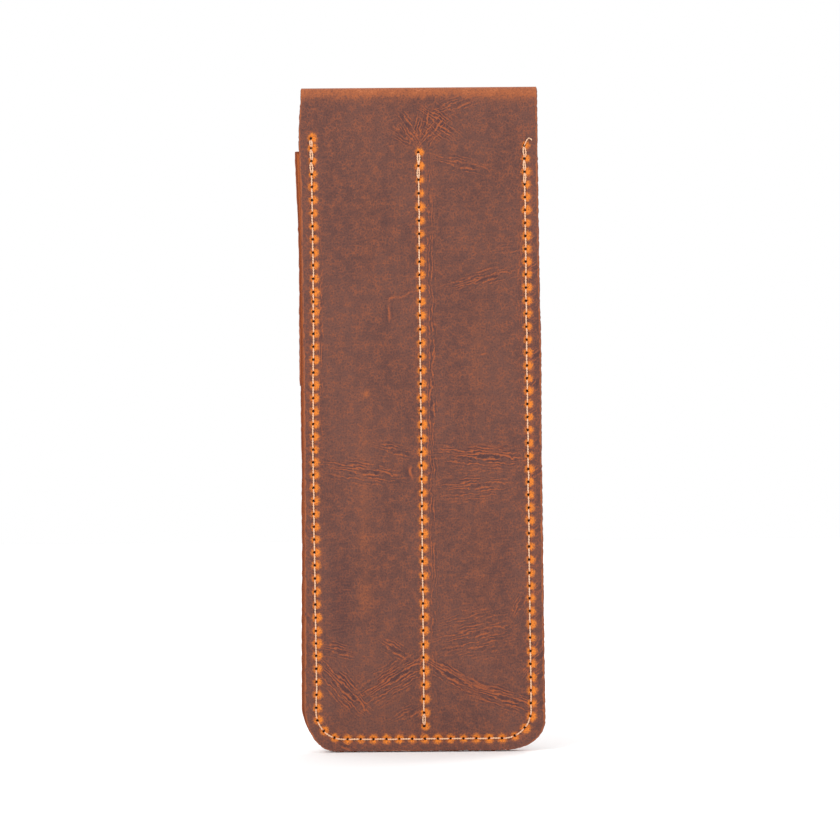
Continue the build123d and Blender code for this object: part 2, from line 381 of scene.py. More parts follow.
# ---------------------------------------------------------------- slabs of leather
def slab(name, outer, thickness, coords, crease, wear, combs, open_ends=(), seams=(), lift=None):
    """A cut of leather as a closed mesh. outer is the grain side as rows x columns x 3, seen with the
    rows going up and the columns to the right. coords are (u, s) on the hide for each point."""
    rows, cols = outer.shape[:2]
    across = np.gradient(outer, axis=1)
    upward = np.gradient(outer, axis=0)
    normal = np.cross(across, upward)
    normal /= np.maximum(np.linalg.norm(normal, axis=2), 1e-9)[..., None]
    thick = np.broadcast_to(np.asarray(thickness, float), (rows, cols))
    inner = outer - normal * thick[..., None]
    if lift is not None:
        inner = lift(inner)
    coarse = inner[::STRIDE, ::STRIDE]
    crows, ccols = coarse.shape[:2]

    grid = np.arange(rows * cols).reshape(rows, cols)
    ring = np.concatenate([grid[0, :-1], grid[:-1, -1], grid[-1, :0:-1], grid[:0:-1, 0]])
    flat = outer.reshape(-1, 3)
    edge_out, edge_in = flat[ring], inner.reshape(-1, 3)[ring]
    edge_normal = normal.reshape(-1, 3)[ring]
    tangent = np.roll(edge_out, -1, 0) - np.roll(edge_out, 1, 0)
    outward = np.cross(tangent, edge_normal)
    outward /= np.maximum(np.linalg.norm(outward, axis=1), 1e-9)[:, None]
    distance = np.arange(len(ring)) * 0.25
    rough = 1 + 0.5 * ripple(distance, 0 * distance, 0.6, 91)
    # an open end has no rim of its own, so only the two sides bulge, right up to its corners
    is_open = np.zeros(len(ring), bool)
    for end in open_ends:
        row, inside = (0, 1) if end == "start" else (-1, -2)
        is_open |= np.isin(ring, grid[row, 1:-1])
        for side in (0, -1):
            corner = ring == grid[row, side]
            outward[corner] = outward[ring == grid[inside, side]]
            rough[corner] = 1
    swell = np.where(is_open, 0, rim_bulge)

    points = [flat]
    depth_of = [np.zeros(rows * cols)]
    source = [np.arange(rows * cols)]
    rim_start = rows * cols
    for row in range(1, rim_rows + 1):
        t = row / (rim_rows + 1)
        spot = edge_out * (1 - t) + edge_in * t
        points.append(spot + outward * (swell * rough * math.sin(math.pi * t))[:, None])
        depth_of.append(np.full(len(ring), t))
        source.append(ring)
    inner_start = rim_start + rim_rows * len(ring)
    points.append(coarse.reshape(-1, 3))
    depth_of.append(np.ones(crows * ccols))
    source.append(grid[::STRIDE, ::STRIDE].ravel())
    points = np.concatenate(points)
    depth = np.concatenate(depth_of)
    source = np.concatenate(source)

    quads = np.stack([grid[:-1, :-1], grid[:-1, 1:], grid[1:, 1:], grid[1:, :-1]], -1).reshape(-1, 4)
    faces = quads.tolist()
    kinds = [0] * len(faces)
    loops = [ring] + [rim_start + row * len(ring) + np.arange(len(ring)) for row in range(rim_rows)]
    for a, b in zip(loops, loops[1:]):
        strip = np.stack([np.roll(a, -1), a, b, np.roll(b, -1)], -1)
        faces += strip.tolist()
        kinds += [2] * len(strip)
    coarse_grid = inner_start + np.arange(crows * ccols).reshape(crows, ccols)
    coarse_ring = np.concatenate(
        [coarse_grid[0, :-1], coarse_grid[:-1, -1], coarse_grid[-1, :0:-1], coarse_grid[:0:-1, 0]]
    )
    last = loops[-1]
    for index in range(len(coarse_ring)):
        part = [int(last[(index * STRIDE + k) % len(last)]) for k in range(STRIDE, -1, -1)]
        faces.append(part + [int(coarse_ring[index]), int(coarse_ring[(index + 1) % len(coarse_ring)])])
        kinds.append(2)
    back = np.stack(
        [coarse_grid[:-1, :-1], coarse_grid[1:, :-1], coarse_grid[1:, 1:], coarse_grid[:-1, 1:]], -1
    ).reshape(-1, 4)
    faces += back.tolist()
    kinds += [1] * len(back)

    mesh = bpy.data.meshes.new(name)
    mesh.from_pydata((points * MM).tolist(), [], faces)
    mesh.polygons.foreach_set("material_index", kinds)
    mesh.polygons.foreach_set("use_smooth", [True] * len(kinds))
    u, s = coords[0].ravel()[source], coords[1].ravel()[source]
    row_of, col_of = source // cols, source % cols
    margin = np.minimum(col_of, cols - 1 - col_of) * np.linalg.norm(across, axis=2).ravel()[source]
    for end, far in (("start", row_of), ("stop", rows - 1 - row_of)):
        if end not in open_ends:
            margin = np.minimum(margin, far * np.linalg.norm(upward, axis=2).ravel()[source])
    put(mesh, "hide", "FLOAT_VECTOR", np.stack([u, s, depth * leather], 1))
    # the wear mark falls below zero where painted shade lies beside creases and on darker patches
    mark = np.stack([crease.ravel()[source], wear.ravel()[source], margin], 1)
    put(mesh, "marks", "FLOAT_VECTOR", mark)
    for label, values in combs:
        put(mesh, label, "FLOAT_VECTOR", values.reshape(-1, 3)[source])
    for label, seam, (x, z) in seams:
        values = seam.measure(x.ravel(), z.ravel())
        put(mesh, label, "FLOAT_COLOR", values[source])
    mesh.update()
    ends = np.zeros(2 * len(mesh.edges), int)
    mesh.edges.foreach_get("vertices", ends)
    open_rows = [row for end, row in (("start", 0), ("stop", -1)) if end in open_ends]
    open_points = [points_of[row] for row in open_rows for points_of in (grid, coarse_grid)]
    sharp = np.isin(ends.reshape(-1, 2), np.concatenate([[-1], *open_points])).all(1)
    mesh.edges.foreach_set("use_edge_sharp", sharp)
    piece = add_object(name, mesh)
    return piece


def add_object(name, data):
    """An object in the scene that shows a mesh, a light or a camera."""
    thing = bpy.data.objects.new(name, data)
    bpy.context.scene.collection.objects.link(thing)
    return thing


def put(mesh, label, kind, values):
    attribute = mesh.attributes.new(label, kind, "POINT")
    field = "color" if kind == "FLOAT_COLOR" else "vector"
    attribute.data.foreach_set(field, values.astype(np.float32).ravel())


def dent(seams, x, z, depth, width):
    """How deep the threads have pulled the leather down at each point, with a pit at every hole."""
    total = np.zeros(x.size)
    for seam in seams:
        run, lateral, _, pitch = seam.measure(x.ravel(), z.ravel()).T
        index = np.clip(np.round(run), 0, len(seam.holes) - 1)
        along = np.abs(run - index) * pitch
        inside = (run > -0.2) & (run < len(seam.holes) - 0.8)
        valley = np.where(inside, depth * np.exp(-((lateral / width) ** 2)), 0)
        pit = 0.4 * np.exp(-((along**2 + lateral**2) / 0.35**2))
        total = np.maximum(total, valley + pit)
    return total.reshape(x.shape)


# ---------------------------------------------------------------- outline of the back panel
def left_edge(z):
    wave = 0.55 * np.sin(math.pi * np.clip((top - 18 - z) / (top - 18 - bottom), 0, 1))
    return -half_width - 0.2 * hump(z, top - 12, 8) + 0.5 * hump(z, top, 7) + wave


def right_edge(z):
    down = (top - z) / (top - bottom)
    return half_width - 0.25 + 0.95 * down + 0.22 * hump(z, strap_low[2] + 8, 12)


def corner_cut(z, width, height):
    """How far a rounded lower corner cuts in from the side at a height."""
    left = np.clip((bottom + height - z) / height, 0, 1)
    return width * (1 - np.sqrt(1 - left**2))


left_corner = (7.8, 11.3)
right_corner = (10.0, 7.5)


def side_profile(s):
    """Height, depth and outward angle of the grain side at a distance along the leather from the bottom
    edge: up the back, round the fold, down the slope and over the shoulder."""
    s = np.asarray(s, float)
    flat = fold_z - bottom
    arc = fold_radius * fold_turn
    out = np.array([math.cos(slope_angle), math.sin(slope_angle)])
    slope_start = np.array([fold_y, fold_z]) + fold_radius * out
    slope_stop = np.array([shoulder_y, shoulder_z]) + shoulder_radius * out
    slope = np.hypot(*(slope_stop - slope_start))
    bend = shoulder_radius * slope_angle
    t1, t2, t3 = flat + arc, flat + arc + slope, flat + arc + slope + bend
    fold_at = math.pi - np.clip(s - flat, 0, arc) / fold_radius
    down = np.clip(s - t1, 0, slope) / slope
    shoulder_at = slope_angle - np.clip(s - t2, 0, bend) / shoulder_radius
    y = np.select(
        [s <= flat, s <= t1, s <= t2, s <= t3],
        [
            0 * s,
            fold_y + fold_radius * np.cos(fold_at),
            slope_start[0] + (slope_stop[0] - slope_start[0]) * down,
            shoulder_y + shoulder_radius * np.cos(shoulder_at),
        ],
        flap_face + 0 * s,
    )
    z = np.select(
        [s <= flat, s <= t1, s <= t2, s <= t3],
        [
            bottom + s,
            fold_z + fold_radius * np.sin(fold_at),
            slope_start[1] + (slope_stop[1] - slope_start[1]) * down,
            shoulder_z + shoulder_radius * np.sin(shoulder_at),
        ],
        shoulder_z - (s - t3),
    )
    angle = np.select(
        [s <= flat, s <= t1, s <= t2, s <= t3],
        [math.pi + 0 * s, fold_at, slope_angle + 0 * s, shoulder_at],
        0 * s,
    )
    return y, z, angle, (flat, t1, t2, t3)


fold_at, slope_at, shoulder_at, drop_at = side_profile(0)[3]
cut_at = (slope_at + shoulder_at) / 2
tip_at = drop_at + shoulder_z - tongue_low[2]
end_half = (tongue_high[0] - tongue_low[0]) / 2


def draw_back_hide():
    """Creases, wrinkles and worn streaks of the back, in millimetres from the middle of the case."""
    hide = Hide((-32, bottom - 1), (32, top + 112), 11)
    seam_top = middle_high[2] + 0.5
    hide.comb(0, (0, 0), everywhere, 6, 0.15)
    hide.comb(1, (0, 0), everywhere, 84, 0.1)
    for heading, strength in ((50, 0.75), (78, 0.65), (122, 0.65), (150, 0.45)):
        way = bearing(heading)
        centre = np.array([0.2, seam_top + 1.5]) + 4.5 * way
        hide.comb(0 if heading < 100 else 1, centre, (5, 3), heading, strength)
    hide.comb(1, (5, seam_top + 7), (6, 4), -35, 0.7)
    hide.comb(0, (9, seam_top + 11), (8, 3), 20, 0.5)
    # waves across the middle
    for values in (
        (0, (15, -9.5), (12, 3), -4, 0.9),
        (1, (13, -17), (10, 4.5), 5, 0.6),
        (0, (-15, -13), (11, 3.6), -8, 0.65),
        (1, (-7, -8), (6, 2.5), -14, 0.5),
    ):
        hide.comb(*values)
    # left of the foot of the centre seam, where two families of folds cross
    for values in (
        (0, (-20, -67), (8.5, 3.4), -46, 1.0),
        (1, (-7.5, -65.2), (9.5, 3.6), 31, 1.0),
        (0, (-7.3, -57.5), (4, 2.2), -32, 0.7),
        (1, (-21, -58), (4.5, 2.6), -14, 0.55),
        (0, (-20.5, -81), (4.5, 1.2), -30, 0.7),
        (0, (-4, -74), (5, 2.4), 24, 0.5),
    ):
        hide.comb(*values)
    # right of it the folds run down to the corner
    for values in (
        (0, (6.2, -63.9), (6.5, 2), -32, 1.0),
        (1, (19.5, -69.8), (9.5, 2.5), -16, 1.0),
        (0, (12.5, -54), (12, 8), 13, 0.5),
        (1, (24.5, -46.5), (5, 2.2), 62, 0.5),
        (0, (29, -60), (7, 2), 48, 0.6),
    ):
        hide.comb(*values)
    # beside the seams
    hide.comb(1, (2.7, 0), (75, 1.5), 90, 0.6)
    for z in np.arange(-72, 64, 7.3):
        hide.comb(0, (28.9, z), (2.6, 1.8), hide.draw.uniform(35, 65), hide.draw.uniform(0.35, 0.7))
        hide.comb(0, (-28.7, z), (2.2, 1.5), hide.draw.uniform(105, 150), hide.draw.uniform(0.2, 0.5))
    hide.comb(1, (-25, 20), (30, 1), 90, 0.5)
    hide.comb(1, (25, 30), (30, 1), 90, 0.4)
    for angle in np.linspace(28, 150, 30):
        way = bearing(angle)
        start = np.array([-0.3, seam_top]) + way * hide.draw.uniform(0.8, 4)
        reach = hide.draw.uniform(3, 7) * (1.5 if 35 < angle < 75 else 1.0)
        hide.bundle([start, start + way * reach / 2, start + way * reach], 2, 1.4, 0.5, 0.15)
    for values in (
        ((-3, seam_top + 1), (9, top - 3), 46, 2.4, 55, 0.42),
        ((-4, seam_top + 3), (5, top - 3), 22, 2.0, -50, 0.38),
        ((-6, top - 5), (16, top - 2.5), 26, 2.2, 100, 0.35),
    ):
        hide.scatter(*values)
    # between the top of the pockets and the fold, on the right
    for values in (
        ([(23.2, 75), (24.9, 72.4), (25.6, 69.4)], 3, 1.2, 0.45),
        ([(2.7, 62.4), (7.7, 65.4), (10.7, 63.6)], 2, 0.7, 0.4),
        ([(21, 63.4), (25.2, 64.8)], 2, 0.6, 0.35),
    ):
        hide.bundle(*values)
    # a hooked scratch on the left pocket, and short marks near it
    for values in (
        ([(-7.5, 23.7), (-7.9, 27.5), (-7.7, 30.2), (-4.5, 30.5), (-1.8, 31.7)], 1.0, 0.28),
        ([(-19.2, 8.9), (-17.8, 8.0)], 0.6),
        ([(-16.4, 11.3), (-13.6, 13.8)], 0.5),
    ):
        hide.strand(*values)
    # shallow waves across the middle, where the case bends over a pocket's rim
    for values in (
        ([(-25, -11.2), (-21.5, -10.8), (-17, -9.2)], 4, 1.2, 0.55),
        ([(-21.6, -12.9), (-13.6, -15.2), (-7.9, -14.4)], 3, 0.9, 0.55),
        ([(-21, -14.9), (-17.8, -16.8)], 2, 0.7, 0.5),
        ([(-11.8, -7), (-5, -7.2), (-1.6, -8.2)], 4, 1.5, 0.5),
        ([(-7.2, -14.7), (-2.9, -16.3)], 2, 0.6, 0.5),
        ([(-12.5, -22.8), (-7, -23.4), (-2.4, -24.6)], 3, 1.4, 0.42),
        ([(4, -7.6), (10, -8.5), (16, -7.4), (22, -8.8), (26, -7.6)], 7, 2.6, 0.75),
        ([(10.9, -10.4), (14.2, -11.9), (18.6, -12.1), (23.9, -9.3)], 2, 0.5, 0.75),
        ([(4.6, -16.2), (9.5, -16.4), (14.6, -15)], 3, 0.9, 0.6),
        ([(13.4, -18.1), (17.8, -19)], 2, 0.6, 0.55),
        ([(8.6, -19.4), (12.1, -19.9)], 2, 0.5, 0.5),
        ([(17.6, -21.3), (21, -20.7), (25, -22)], 3, 1, 0.5),
        ([(9.4, -27.5), (13.4, -27.1)], 2, 0.5, 0.45),
    ):
        hide.bundle(*values)
    hide.scatter((4, -27), (25, -5), 34, 3.4, 2, 0.3)
    hide.scatter((-25, -27), (-3, -5), 26, 3.4, -4, 0.26)
    hide.strand([(-2.5, -11.6), (-3, -13.2), (-2, -15.6)], 1.0, 0.3, 0.1)
    # upper right pocket
    hide.bundle([(4.2, 32.2), (10, 33.2), (17, 36.4), (25, 37.2)], 4, 2.2, 0.8)
    for values in (
        (0, (15, 34.5), (11, 2.4), 14, 0.5),
        (0, (10, 63.5), (8, 2.6), -12, 0.5),
        (0, (22, 42), (5, 2.5), 8, 0.35),
    ):
        hide.comb(*values)
    hide.bundle([(5.2, 24.1), (7.4, 25.8), (10.2, 26.6)], 2, 0.6, 0.42)
    hide.strand([(14.1, 15.7), (16.7, 16.1)], 0.8, 0.22, 0.1)
    hide.strand([(19.1, 43.8), (23.3, 44)], 0.4)
    # lower left, above the rounded end of the pocket
    for values in (
        ([(-21.3, -42.5), (-16.6, -42.9)], 2, 0.5, 0.45),
        ([(-6.9, -39.9), (-0.9, -38.6)], 3, 0.8, 0.45),
        ([(-11.6, -47), (-8.2, -44.8), (-6.4, -45.4)], 2, 0.5, 0.6),
        ([(-7.6, -47), (-5.4, -46.1), (-1, -47.7)], 3, 0.7, 0.6),
    ):
        hide.bundle(*values)
    hide.strand([(-3.3, -39.5), (-3.4, -44)], 0.4)
    hide.bundle([(-11.4, -54), (-7.6, -58)], 3, 1.0, 0.5)
    hide.bundle([(-6.2, -56.8), (-3.6, -58.9)], 2, 0.7, 0.5)
    # the rounded ends of the pockets throw folds down and outwards from the foot of the centre seam
    for values in (
        ([(-17.2, -71), (-12, -68), (-8.6, -64.2), (-5.6, -61.2), (-2.6, -59.4)], 6, 1.6, 0.75),
        ([(-17.2, -60.9), (-12.7, -60.6), (-7.6, -62.1)], 3, 0.8, 0.45),
        ([(-14.8, -74.6), (-9, -72.2), (-3.2, -69.4)], 5, 1.8, 0.5),
    ):
        hide.bundle(*values)
    for step in range(6):
        slide = np.array([0.7 * step, -2.0 * step])
        hide.bundle([(-26.2, -58.4) + slide, (-22.8, -62.8) + slide, (-19.4, -65.6) + slide], 2, 1.0, 0.5)
    for values in (
        ([(1.4, -61), (6.8, -63.9), (13, -67.6), (19.2, -70), (25.6, -70.8)], 9, 1.5, 0.85, 0.19, 3.2),
        ([(14.6, -67.4), (20.4, -66.2), (25.5, -65.3)], 5, 1.2, 0.6),
        ([(18, -74.8), (21.8, -73)], 3, 0.9, 0.5),
        ([(4.3, -58.8), (8, -57), (11.8, -56.6)], 3, 0.9, 0.45),
        ([(11.1, -58.9), (14.6, -58.9), (18.2, -57.9)], 3, 0.9, 0.45),
    ):
        hide.bundle(*values)
    hide.scatter((15, -75), (26, -60), 18, 3, -12, 0.3)
    hide.scatter((-25, -75), (-14, -60), 16, 3, -40, 0.28)
    hide.bundle([(28.2, -59), (30.2, -61.6)], 3, 1.2, 0.4)
    hide.bundle([(27.6, -75.8), (29.8, -79)], 3, 1.2, 0.4)
    # lines pulled beside the seams, and the finer marks all over
    for side, x in ((1, 1.7), (-1, -2.2)):
        hide.bundle([(x, 55), (x + 0.15 * side, 10), (x + 0.1 * side, -60)], 5, 0.7, 0.3, 0.14)
    hide.bundle([(-25, 26), (-24.8, 14), (-25, 4)], 4, 0.8, 0.3, 0.15)
    hide.scatter((-26, -76), (26, 78), 170, 2.6, 0, 0.16)
    hide.scatter((-26, -76), (26, 78), 80, 2.2, 90, 0.13)
    # worn streaks where pens have pressed from inside
    for values in (
        ((-14.6, -20), (2.3, 30), 0.24),
        ((-14.7, -30.6), (2.4, 3.5), 0.36),
        ((-14.8, -44.5), (2.6, 5), 0.45),
        ((-13.6, 6.2), (1.2, 1.4), 0.55),
        ((-13.8, -5.7), (0.6, 0.6), 0.5),
        ((15, -35), (3, 20), 0.2),
        ((14, 15), (2.4, 16), 0.2),
        ((-13, 48), (2.2, 20), 0.16),
        ((-13, 74), (9, 4), 0.14),
    ):
        hide.rub(*values)
    for values in (
        ((-20, -45), (4, 16), 0.34),
        ((-21, 40), (3, 22), 0.16),
        ((20, -35), (4, 12), 0.2),
    ):
        hide.darken(*values)
    # the front flap has creases of its own
    for values in (
        (1, (0, top + 17), (26, 5), 3, 0.75),
        (1, (-24, top + 6), (9, 3), 80, 0.6),
        (1, (24, top + 6), (9, 3), 100, 0.6),
    ):
        hide.comb(*values)
    for start, stop, strength in ((top + 12, top + 24, 0.5), (top + 30, top + 100, 0.28)):
        hide.scatter((-22, start), (22, stop), 46, 4.5, 4, strength)
    hide.scatter((-27, top), (27, top + 14), 60, 2.6, 92, 0.3)
    return hide


# ---------------------------------------------------------------- back panel, fold and flap
back_hide = draw_back_hide()


def flap_half(s, start):
    """Half the width of the flap: it keeps its width over the fold, then runs in evenly to the tongue."""
    slope_top = side_profile(slope_at)[1]
    z = np.where(s > slope_at, side_profile(s)[1], slope_top)
    share = np.clip((slope_top - z) / (slope_top - strap_high[2] - 1), 0, 1)
    under_strap = np.clip((strap_high[2] - z) / (strap_high[2] - tongue_low[2]), 0, 1)
    return start + (end_half + 0.4 - start) * share - 1.8 * under_strap


def fold_wear(x, s):
    """Light, pulled-up colour along the fold, with a mottled lower border."""
    border = fold_at - 0.2 + 0.35 * ripple(x, s, 1.2, 21)
    border = border + 0.25 * ripple(x, s, 0.45, 22) - 0.3 * ease(x, -5, 25)
    mottle = 0.84 + 0.2 * ripple(x, s, 0.7, 23) + 0.16 * ripple(x, s, 3.0, 24)
    band = 0.3 * ease(s, border - 3.2, border) + 0.7 * ease(s, border - 0.9, border + 1.6)
    return band * mottle * (1 - 0.75 * ease(s, slope_at + 1, slope_at + 7))


def build_back():
    tall = left_corner[1]
    turn = np.linspace(0, math.pi / 2, 18 * STRIDE + 1)
    lower = tall * (1 - np.cos(turn))
    s = np.concatenate([lower[:-1], stations(tall, (fold_at, 0.25), (slope_at, 0.17), (cut_at, 0.4))])
    z_flat = bottom + s
    on_back = s <= fold_at
    left = np.where(on_back, left_edge(z_flat), -flap_half(s, -left_edge(fold_z)))
    right = np.where(on_back, right_edge(z_flat), flap_half(s, right_edge(fold_z)))
    left = left + corner_cut(z_flat, *left_corner)
    right = right - corner_cut(z_flat, *right_corner)
    t = np.linspace(0, 1, 60 * STRIDE + 1)
    x = left[:, None] + (right - left)[:, None] * t
    grid_s = np.repeat(s[:, None], len(t), 1)
    y, z, angle, _ = side_profile(grid_s)
    flat = ease(fold_at - grid_s, 0, 4)
    swell = 0.28 * (hump(x, -pocket_x, 6) + hump(x, pocket_x, 6)) * ease(mouth + 6 - z, 0, 12)
    swell = swell * ease(z, dome_end - 6, dome_end + 6)
    sink = dent((outline_seam, centre_seam), x, grid_s + bottom, 0.22, 0.9)
    waves = 0.05 * ripple(x, grid_s, 9, 41) + 0.02 * ripple(x, grid_s, 2.5, 42)
    crease = back_hide.read(back_hide.crease, x, grid_s + bottom)
    push = flat * (swell + waves - sink) - crease_depth * crease
    push = push - 0.3 * np.sin(math.pi * np.clip((grid_s - slope_at) / (shoulder_at - slope_at), 0, 1))
    outer = np.stack([x, y + push * np.cos(angle), z + push * np.sin(angle)], 2)
    wear = back_hide.tone(x, grid_s + bottom) + fold_wear(x, grid_s)
    flat_z = grid_s + bottom
    piece = slab(
        "back_panel_and_fold",
        outer,
        leather + push * flat,
        (x, grid_s),
        crease,
        wear,
        back_hide.lines(x, flat_z),
        open_ends=("stop",),
        seams=[("outline", outline_seam, (x, flat_z)), ("centre", centre_seam, (x, flat_z))],
    )
    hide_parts("back_panel")
    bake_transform(piece)
    return piece


def build_flap():
    corner = 10.0  # radius of the tongue's corners
    turn = np.linspace(math.pi / 2, 0, 12 * STRIDE + 1)
    tip = tip_at - corner + corner * np.cos(turn)
    down = stations(cut_at, (shoulder_at, 0.4), (drop_at, 0.3), (tip_at - corner, 0.4))
    s = np.concatenate([down, tip[1:]])
    y0, z0, angle, _ = side_profile(s)
    left_over = np.clip((s - tip_at + corner) / corner, 0, 1)
    cut = corner * (1 - np.sqrt(1 - left_over**2))
    left, right = cut - flap_half(s, -left_edge(fold_z)), flap_half(s, right_edge(fold_z)) - cut
    t = np.linspace(0, 1, 40 * STRIDE + 1)
    u = left[:, None] + (right - left)[:, None] * t
    grid_s = np.repeat(s[:, None], len(t), 1)
    y = np.repeat(y0[:, None], len(t), 1)
    z = np.repeat(z0[:, None], len(t), 1)
    turned = np.repeat(angle[:, None], len(t), 1)
    droop = math.radians(45) * ease(grid_s, shoulder_at, drop_at + shoulder_z - strap_high[2])
    bend = droop / (end_half - pocket_x)
    beyond = np.clip(np.abs(u) - pocket_x, 0, None)
    swing = bend * beyond
    safe = np.maximum(bend, 1e-6)
    x = np.sign(u) * (np.minimum(np.abs(u), pocket_x) + np.where(bend > 1e-4, np.sin(swing) / safe, beyond))
    drop = np.where(bend > 1e-4, (1 - np.cos(swing)) / safe, 0)
    x = x + np.sign(u) * leather / 2 * np.sin(swing)
    drop = drop + leather / 2 * (1 - np.cos(swing))
    sag = 0.45 * hump(u, 0, 6) * ease(grid_s, shoulder_at, drop_at + 8)
    sag = sag * (1 - 0.8 * ease(grid_s, tip_at - 30, tip_at - 24))
    sag = sag + 0.02 * (1 + ripple(u, grid_s, 6, 51)) * ease(grid_s, cut_at, shoulder_at)
    slope = 0.3 * np.sin(math.pi * np.clip((grid_s - slope_at) / (shoulder_at - slope_at), 0, 1))
    crease = back_hide.read(back_hide.crease, u, grid_s + bottom)
    inward = drop + sag + slope + crease_depth * crease
    outer = np.stack([x, y - inward * np.cos(turned), z - inward * np.sin(turned)], 2)
    edge = ease(2.2 - np.minimum(u - left[:, None], right[:, None] - u), 0, 2.2)
    wear = np.maximum(0.3 * edge, fold_wear(u, grid_s) + back_hide.tone(u, grid_s + bottom))
    wear = np.maximum(wear, 0.45 * hump(grid_s, (shoulder_at + drop_at) / 2, 3.2))
    over_pens = hump(u, pocket_x, 3) + hump(u, -pocket_x, 3)
    wear = np.maximum(wear, 0.4 * over_pens * ease(grid_s, drop_at, drop_at + 6))
    lines = back_hide.lines(u, grid_s + bottom)
    piece = slab("flap_and_tongue", outer, leather, (u, grid_s), crease, wear, lines, open_ends=("start",))
    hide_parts("flap_upper", "flap_lower", "flap_tongue")
    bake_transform(piece)
    return piece


# ---------------------------------------------------------------- front panel with its two formed pockets
def mirrored(*grids):
    """The grids with their columns the other way round, for a piece whose grain side faces the front."""
    return [grid[:, ::-1] for grid in grids]


def smooth(values, sigma, axis):
    """Blur a map by sigma cells along one axis."""
    reach = int(3 * sigma)
    kernel = np.exp(-((np.arange(-reach, reach + 1) / sigma) ** 2) / 2)
    kernel /= kernel.sum()
    pads = [(reach, reach) if a == axis else (0, 0) for a in range(2)]
    padded = np.pad(values, pads, mode="edge")
    return np.apply_along_axis(lambda line: np.convolve(line, kernel, "valid"), axis, padded)


def pocket_face():
    """The front face of the front panel as a height over a 0.2 mm grid."""
    cell = 0.2
    x = np.arange(-half_width - 3, half_width + 3, cell)
    z = np.arange(bottom - 1, mouth + 1, cell)
    gx, gz = np.meshgrid(x, z, indexing="ij")
    low = np.clip(dome_end - gz, 0, None)
    height = np.full(gx.shape, 2 * leather)
    for side in (-1, 1):
        room = dome_radius**2 - (gx - side * pocket_x) ** 2 - low**2
        height = np.maximum(height, np.where(room > 0, dome_axis_y + np.sqrt(np.maximum(room, 0)), 0))
    height = smooth(smooth(height, 3.2, 0), 2.4, 1)
    return x, z, height


def build_front():
    x_cells, z_cells, height = pocket_face()
    turn = np.linspace(0, math.pi / 2, 10 * STRIDE + 1)
    tall = left_corner[1]
    z = np.concatenate([bottom + tall * (1 - np.cos(turn))[:-1], stations(bottom + tall, (mouth, 0.42))])
    shown = lip * (0.72 + 0.28 * ease(z, mouth - 30, mouth)) * ease(z, bottom, bottom + tall)
    left = left_edge(z) - shown * (1 + 0.08 * ripple(z, 0 * z, 6, 61)) + corner_cut(z, *left_corner)
    right = right_edge(z) - 0.25 - corner_cut(z, *right_corner)
    columns = 56 * STRIDE + 1
    hide = Hide((-55, bottom - 1), (55, mouth + 1), 12)
    for side in (-1, 1):
        hide.comb(0, (side * 24, 0), everywhere, 90, 0.26)
        hide.comb(1, (side * 24, -66), (9, 13), 90, 0.8)
        hide.comb(1, (side * 24, 58), (6, 12), 90, 0.5)
        hide.scatter((side * 24 - 14, -78), (side * 24 + 14, -56), 46, 5, 90, 0.42)
        hide.scatter((side * 24 - 16, -55), (side * 24 + 16, 60), 90, 3.4, 5, 0.24)
        hide.scatter((side * 24 - 16, 50), (side * 24 + 16, 66), 30, 2.6, 80, 0.3)
    x = np.zeros((len(z), columns))
    y = np.zeros_like(x)
    u = np.zeros_like(x)
    for row, (level, a, b) in enumerate(zip(z, left, right)):
        fine = np.linspace(a, b, 900)
        column = np.clip((level - z_cells[0]) / (z_cells[1] - z_cells[0]), 0, len(z_cells) - 1.001)
        low, part = int(column), column - int(column)
        line = height[:, low] * (1 - part) + height[:, low + 1] * part
        rise = np.interp(fine, x_cells, line)
        along = np.concatenate([[0], np.cumsum(np.hypot(np.diff(fine), np.diff(rise)))])
        even = np.linspace(0, along[-1], columns)
        x[row] = np.interp(even, along, fine)
        y[row] = np.interp(even, along, rise)
        u[row] = even - np.interp(0, fine, along)
    grid_z = np.repeat(z[:, None], columns, 1)
    ends = hump(grid_z, dome_end - 6, 6)
    pucker = 0.22 * ends * ripple(u * 1.3, grid_z * 0.35, 1.7, 62)
    pucker = pucker * ease(y, 3.4, 6) * (1 - 0.7 * ease(y, 12, 15))
    sink = dent((outline_seam, centre_seam), x, grid_z, 0.25, 0.9)
    crease = hide.read(hide.crease, u, grid_z)
    waves = 0.04 * ripple(u, grid_z, 7, 63) * ease(dome_crest - y, 0, 2)
    y = y + pucker - sink - crease_depth * crease + waves
    climb = np.clip(y - 2 * leather - 0.1, 0, None)
    worn = 0.5 * ease(y, dome_crest - 2.2, dome_crest - 0.2)
    worn = worn + 0.55 * hump(grid_z, dome_end - 5, 6) * ease(y, 6, 11)
    worn = np.maximum(worn * (0.65 + 0.35 * ripple(u, grid_z, 2.2, 64)), 0.55 * hump(grid_z, mouth, 1.2))
    worn = worn + 0.7 * hide.tone(u, grid_z)
    x, y, u, grid_z, crease, worn, climb = mirrored(x, y, u, grid_z, crease, worn, climb)
    away = np.sign(x) * climb

    def rest_on_back(inner):
        """The flange lies on the back panel, so its flesh side never goes below it."""
        inner[..., 1] = np.maximum(inner[..., 1], leather + 0.02)
        return inner

    piece = slab(
        "front_panel_with_pockets",
        np.stack([x, y, grid_z], 2),
        leather,
        (u, grid_z - bottom),
        crease,
        worn,
        hide.lines(u, grid_z),
        seams=[
            ("outline", outline_seam, (x - away, grid_z + climb)),
            ("centre", centre_seam, (x + away, grid_z)),
        ],
        lift=rest_on_back,
    )
    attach(piece, "case")
    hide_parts("front_panel")
    return piece


